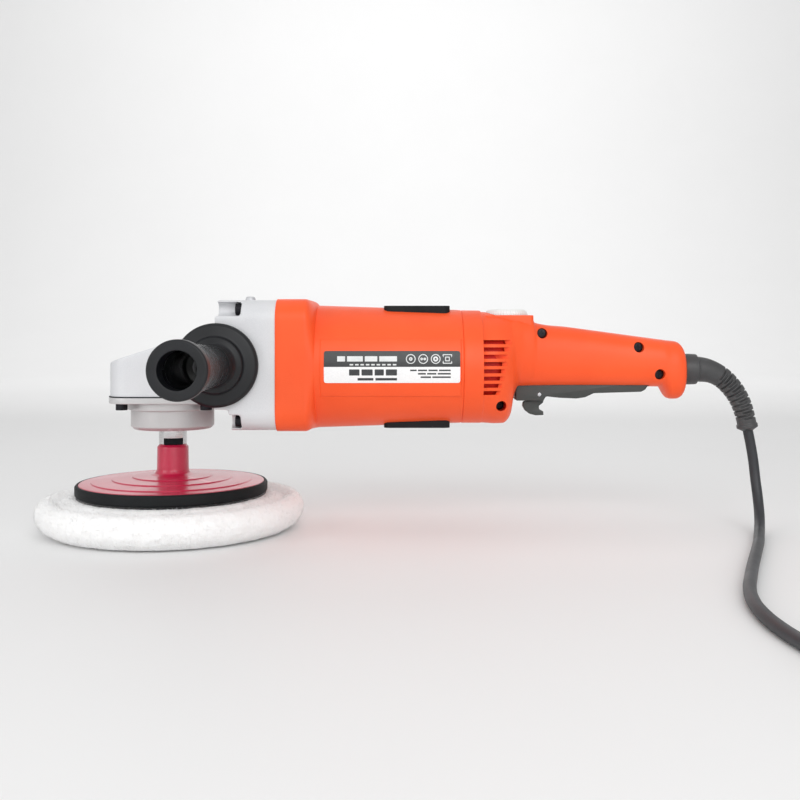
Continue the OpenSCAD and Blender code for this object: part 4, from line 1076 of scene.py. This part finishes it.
def handle_screws():
    """Recessed cross-head screws of the rear handle, and the clamp's two."""
    shells = []
    for x, z in HANDLE_SCREWS:
        head = fillet([[0, -13.4], [3.9, -13.4], [3.9, -11], [1.65, -11], [1.65, 8.6], [0, 8.6]],
                      [0, 1.1, 0.1, 0, 0.2, 0], 4)
        shells.append(turned(head, "y", (x, z), 32))
    for s in (-1, 1):
        head = fillet([[0, 138.4], [3.2, 138.4], [3.2, 136], [1.65, 136], [1.65, 114.4], [0, 114.4]],
                      [0, 0.9, 0.1, 0, 0.2, 0], 4)
        shells.append(turned(head, "z", (CLAMP_X, s * 7.5), 32))
    ob = build("handle_fasteners", *shells)
    for a, b in ((2.4, 0.5), (0.5, 2.4)):
        cut(ob, *[box((x - a, -14.4, z - b), (x + a, -12.2, z + b)) for x, z in HANDLE_SCREWS])
    show(ob, "tool", "black_screws", "housing_screws")


handle_screws()

# outlines in X and Z
TRIGGER = [[277.3, 104.6], [278.3, 103.6], [299.6, 103.6], [301.4, 107.1], [312, 105.9], [326, 105.3],
           [333, 106.3], [340, 109.6], [378, 110.7], [381.4, 112.6], [383.2, 115.5], [383.2, 118],
           [380, 125.5], [374, 125.5], [370, 118.2], [277.3, 118.2]]
LATCH = [[LOCK_PIN[0] + 4.4 * math.cos(t), LOCK_PIN[1] + 4.4 * math.sin(t)]
         for t in np.radians(22.5 * np.arange(9))]
LATCH += [[290.6, 103.4], [284, 102.6], [283.6, 99], [285.4, 95.4], [289, 92.6], [294, 91.4], [300.4, 91.6],
          [300.2, 94.6], [296.8, 96.4], [296.6, 99], [300, 101.6], [300.6, 104.6]]


def trigger():
    outline = fillet(TRIGGER, [1.5, 0.8, 0.6, 2.5, 12, 10, 5, 5, 4, 2.5, 2, 1.5, 1, 1, 1.5, 9], 5)
    ob = build("trigger_moulding", prism(outline, "y", -9, 9))
    bevel(ob, 1.0, 3, 50)
    cut(ob, box((282.5, -3.6, 90), (304, 3.6, 114.5)))
    combine(ob, "UNION", build("tool", cylinder("y", -13.2, 13.2, 2.5, HINGE, 32)))
    cut(ob, cylinder("y", -9.5, 9.5, 1.53, LOCK_PIN, 24))
    show(ob, "trigger", "dark_plastic", "trigger_lever", sharp=40)


def latch():
    outline = fillet(LATCH, [0] * 9 + [3, 2, 2.5, 3, 3, 3, 0.6, 1.2, 1.2, 1.5, 1.5, 2], 4)
    ob = build("lock_off_latch", prism(outline, "y", -3.2, 3.2))
    bevel(ob, 0.7, 3, 50)
    cut(ob, cylinder("y", -5, 5, 1.55, LOCK_PIN, 24))
    show(ob, "lock_off_lever", "dark_plastic", "lock_lever", sharp=40)


trigger()
latch()
show(lathe("latch_pin", [[0, -9.05], [1.5, -9.05], [1.5, 9.05], [0, 9.05]], 0.25, "y", LOCK_PIN, 32),
     "trigger", "bright_steel", "lock_lever_pin")


def dial():
    """Speed wheel: ribbed rim, dished top and numbers from 1 to 6."""
    prof = fillet([[0, 153.6], [3, 153.6], [3, 168.6], [16.4, 168.6], [17.2, 169.4], [17.2, 173.4],
                   [16.2, 175.6], [14.6, 176.9], [0, 176.9]], [0, 0.2, 0.3, 0.3, 0.5, 1.2, 1.2, 0.8, 0], 4)
    rows, faces = turned(prof, "z", (DIAL_X, 0), 288)
    t = around(288)
    rim = soft_step(15.6, 16.8, prof[:, 0])[:, None]
    scale = 1 - 0.025 * rim * (0.5 + 0.5 * np.cos(t * 48))
    rows[..., 0] = DIAL_X + (rows[..., 0] - DIAL_X) * scale
    rows[..., 1] *= scale
    ob = build("speed_wheel", (rows, faces))
    cut(ob, turned([[0, 176.5], [10.4, 176.5], [10.9, 177.2], [0, 177.2]], "z", (DIAL_X, 0), 96))
    dimples = np.radians(60 * np.arange(6) + 30)
    cut(ob, *[cylinder("z", 175.6, 178.6, 1.2, (DIAL_X + 12.6 * math.cos(a), 12.6 * math.sin(a)), 24)
              for a in dimples])
    show(ob, "dial", "dial_plastic", "speed_dial", sharp=40)
    ink = moulded("dial_ink", (70, 72, 76), (58, 60, 64), (0.4, 0.5), patch=200.0)
    for k in range(6):
        text = bpy.data.curves.new("numeral", "FONT")
        text.body = str(k + 1)
        text.size = 3.6 * MM
        text.extrude = 0.06 * MM
        text.align_x = text.align_y = "CENTER"
        name = "dial_number_%d" % (k + 1)
        mark = placed(name, text)
        a = math.radians(60 * k)
        mark.location = ((DIAL_X + 8.2 * math.cos(a)) * MM, 8.2 * math.sin(a) * MM, 176.55 * MM)
        mark.rotation_euler = (0, 0, a - math.pi / 2)
        solid = evaluated(mark)
        solid.transform(mark.matrix_world)
        bpy.data.objects.remove(mark)
        show(placed(name, solid), "dial", "dial_plastic", look=ink)


dial()


# ---- cord boot ----

def boot():
    """Bend protector: collar, plain sleeve, then ribs cut from alternate sides, and an end ring."""
    line = even_line([(x, 0, z) for x, z in (
        (HANDLE_END, OUTLET_Z), (424, OUTLET_Z), (430, 128.2), (436, 126.8), (442, 124.1), (447, 120.5),
        (452, 115.5), (456.7, 109.3), (460.7, 101.9), (463.5, 93.9), (465.4, 86.5), (466.6, 79.1))], 0.35)
    s = distance_along(line)
    total = s[-1]
    r = eased([0, 0.6, 10.4, 11.4, 16, 30, 44, 64, total - 6, total - 4.6, total - 2.6, total - 1.2, total],
              [12.2, 12.5, 12.2, 10.4, 10.0, 8.7, 8.3, 7.8, 7.5, 8.3, 8.3, 6.4, 4.5], s)
    t = around(64)
    shape = np.ones((len(s), 64))
    pitch, first = 2.55, 31.5
    n = int((total - 8 - first) / pitch)
    for k in range(n + 1):
        centre = first + k * pitch
        groove = np.exp(-(((s - centre) / 0.62) ** 4))
        # each groove covers two thirds of the way round, from alternate sides
        facing = math.pi if k % 2 else 0.0
        turn = np.abs((t - math.pi / 2 - facing + math.pi) % (2 * math.pi) - math.pi)
        span = soft_step(2.15, 1.95, turn)
        shape -= 0.19 * groove[:, None] * span[None]
    ob = build("cord_sleeve", tube(line, r, 64, shape))
    neck = fillet([[4.1, 406.9], [8.5, 406.9], [8.5, 407.1], [11, 407.1], [11, 410.3], [8.5, 410.3],
                   [8.5, 414.4], [4.1, 414.4]], 0.1, 2)
    inner = build("tool", turned(neck, "x", (0, OUTLET_Z), 64))
    combine(ob, "UNION", inner)
    show(ob, "tool", "black_rubber", "cord_boot", look=SLEEVE, sharp=60)


boot()


# ---- side handle ----

def grip():
    prof = [[4.03, 0], [31, 0], [32, 1], [32, 4.5], [30, 6.5], [22, 7.5], [21, 11], [16.5, 13], [14.8, 18],
            [14.8, 30], [15.4, 31], [17.5, 118], [19.2, 121], [19.6, 122.5], [19.6, 130], [18.6, 131],
            [12.6, 131], [12.6, 47.5], [8, 47.5], [8, 26], [4.03, 26]]
    radii = [0.2, 0.8, 0.8, 1.2, 2.5, 2, 2, 2.5, 2.5, 0.5, 0.5, 1, 1.2, 1.6, 1.4, 1.0, 0.7, 0.3, 0.3, 0.2, 0]
    prof = [[r, -BOSS_Y - d] for r, d in prof]
    ob = lathe("side_grip_moulding", prof, radii, "y", (GRIP_X, GRIP_Z), 160, 5)
    show(ob, "tool", "black_rubber", "side_grip", look=GRIP)


grip()


# ---- CAD nodes that stay: their slot's material, welded, with softened edges ----

slot_of = {row["node"]: row["material_slot"] for row in frame["record"]["subparts"]}
for name, ob in nodes.items():
    if ob.hide_render:
        continue
    dress(ob, LOOKS[slot_of[name]], 40)
    modify(ob, "WELD", merge_threshold=1e-6)
    modify(ob, "BEVEL", width=0.25 * MM, segments=2, limit_method="ANGLE", angle_limit=math.radians(40))


# ---- floor and light ----

sweep = [(-6.0, 0.0), (3.0, 0.0)]
sweep += [(3 + 2 * math.sin(t), 2 - 2 * math.cos(t)) for t in np.radians(np.arange(5, 91, 5))] + [(5.0, 7.0)]
floor_data = bpy.data.meshes.new("floor")
floor_data.from_pydata([(x, y, z) for y, z in sweep for x in (-7, 7)], [],
                       [(2 * i, 2 * i + 1, 2 * i + 3, 2 * i + 2) for i in range(len(sweep) - 1)])
floor_data.shade_smooth()
floor = placed("floor", floor_data)
floor_look = Look("floor", Roughness=0.6)
floor_look.colour(floor_look.mix(floor_look.noise(3.0), srgb(240, 240, 240), srgb(237, 237, 237)))
floor_data.materials.append(floor_look.material)


def lamp(name, place, target, size, power):
    data = bpy.data.lights.new(name, "AREA")
    data.shape = "RECTANGLE"
    data.size, data.size_y = size
    data.energy = power
    ob = placed(name, data)
    ob.location = place
    ob.rotation_euler = (Vector(target) - Vector(place)).to_track_quat("-Z", "Y").to_euler()


lamp("key", (0.6, -1.7, 0.9), (0.15, 0, 0.12), (1.4, 1.2), 16.5)
lamp("fill", (-1.3, -1.2, 0.7), (0.1, 0, 0.1), (1.0, 1.0), 7)
lamp("top", (0.1, 0.2, 1.6), (0.15, 0, 0.1), (1.6, 1.2), 2)
lamp("back", (0.2, 1.6, 1.0), (0.2, 0, 0.12), (2.0, 1.0), 3)
lamp("backdrop", (0.2, 1.9, 2.4), (0.2, 5.0, 1.3), (4.0, 1.5), 60)
world = bpy.data.worlds.new("studio")
scene.world = world
world.use_nodes = True
world.node_tree.nodes["Background"].inputs[0].default_value = (1, 1, 1, 1)
world.node_tree.nodes["Background"].inputs[1].default_value = 0.58
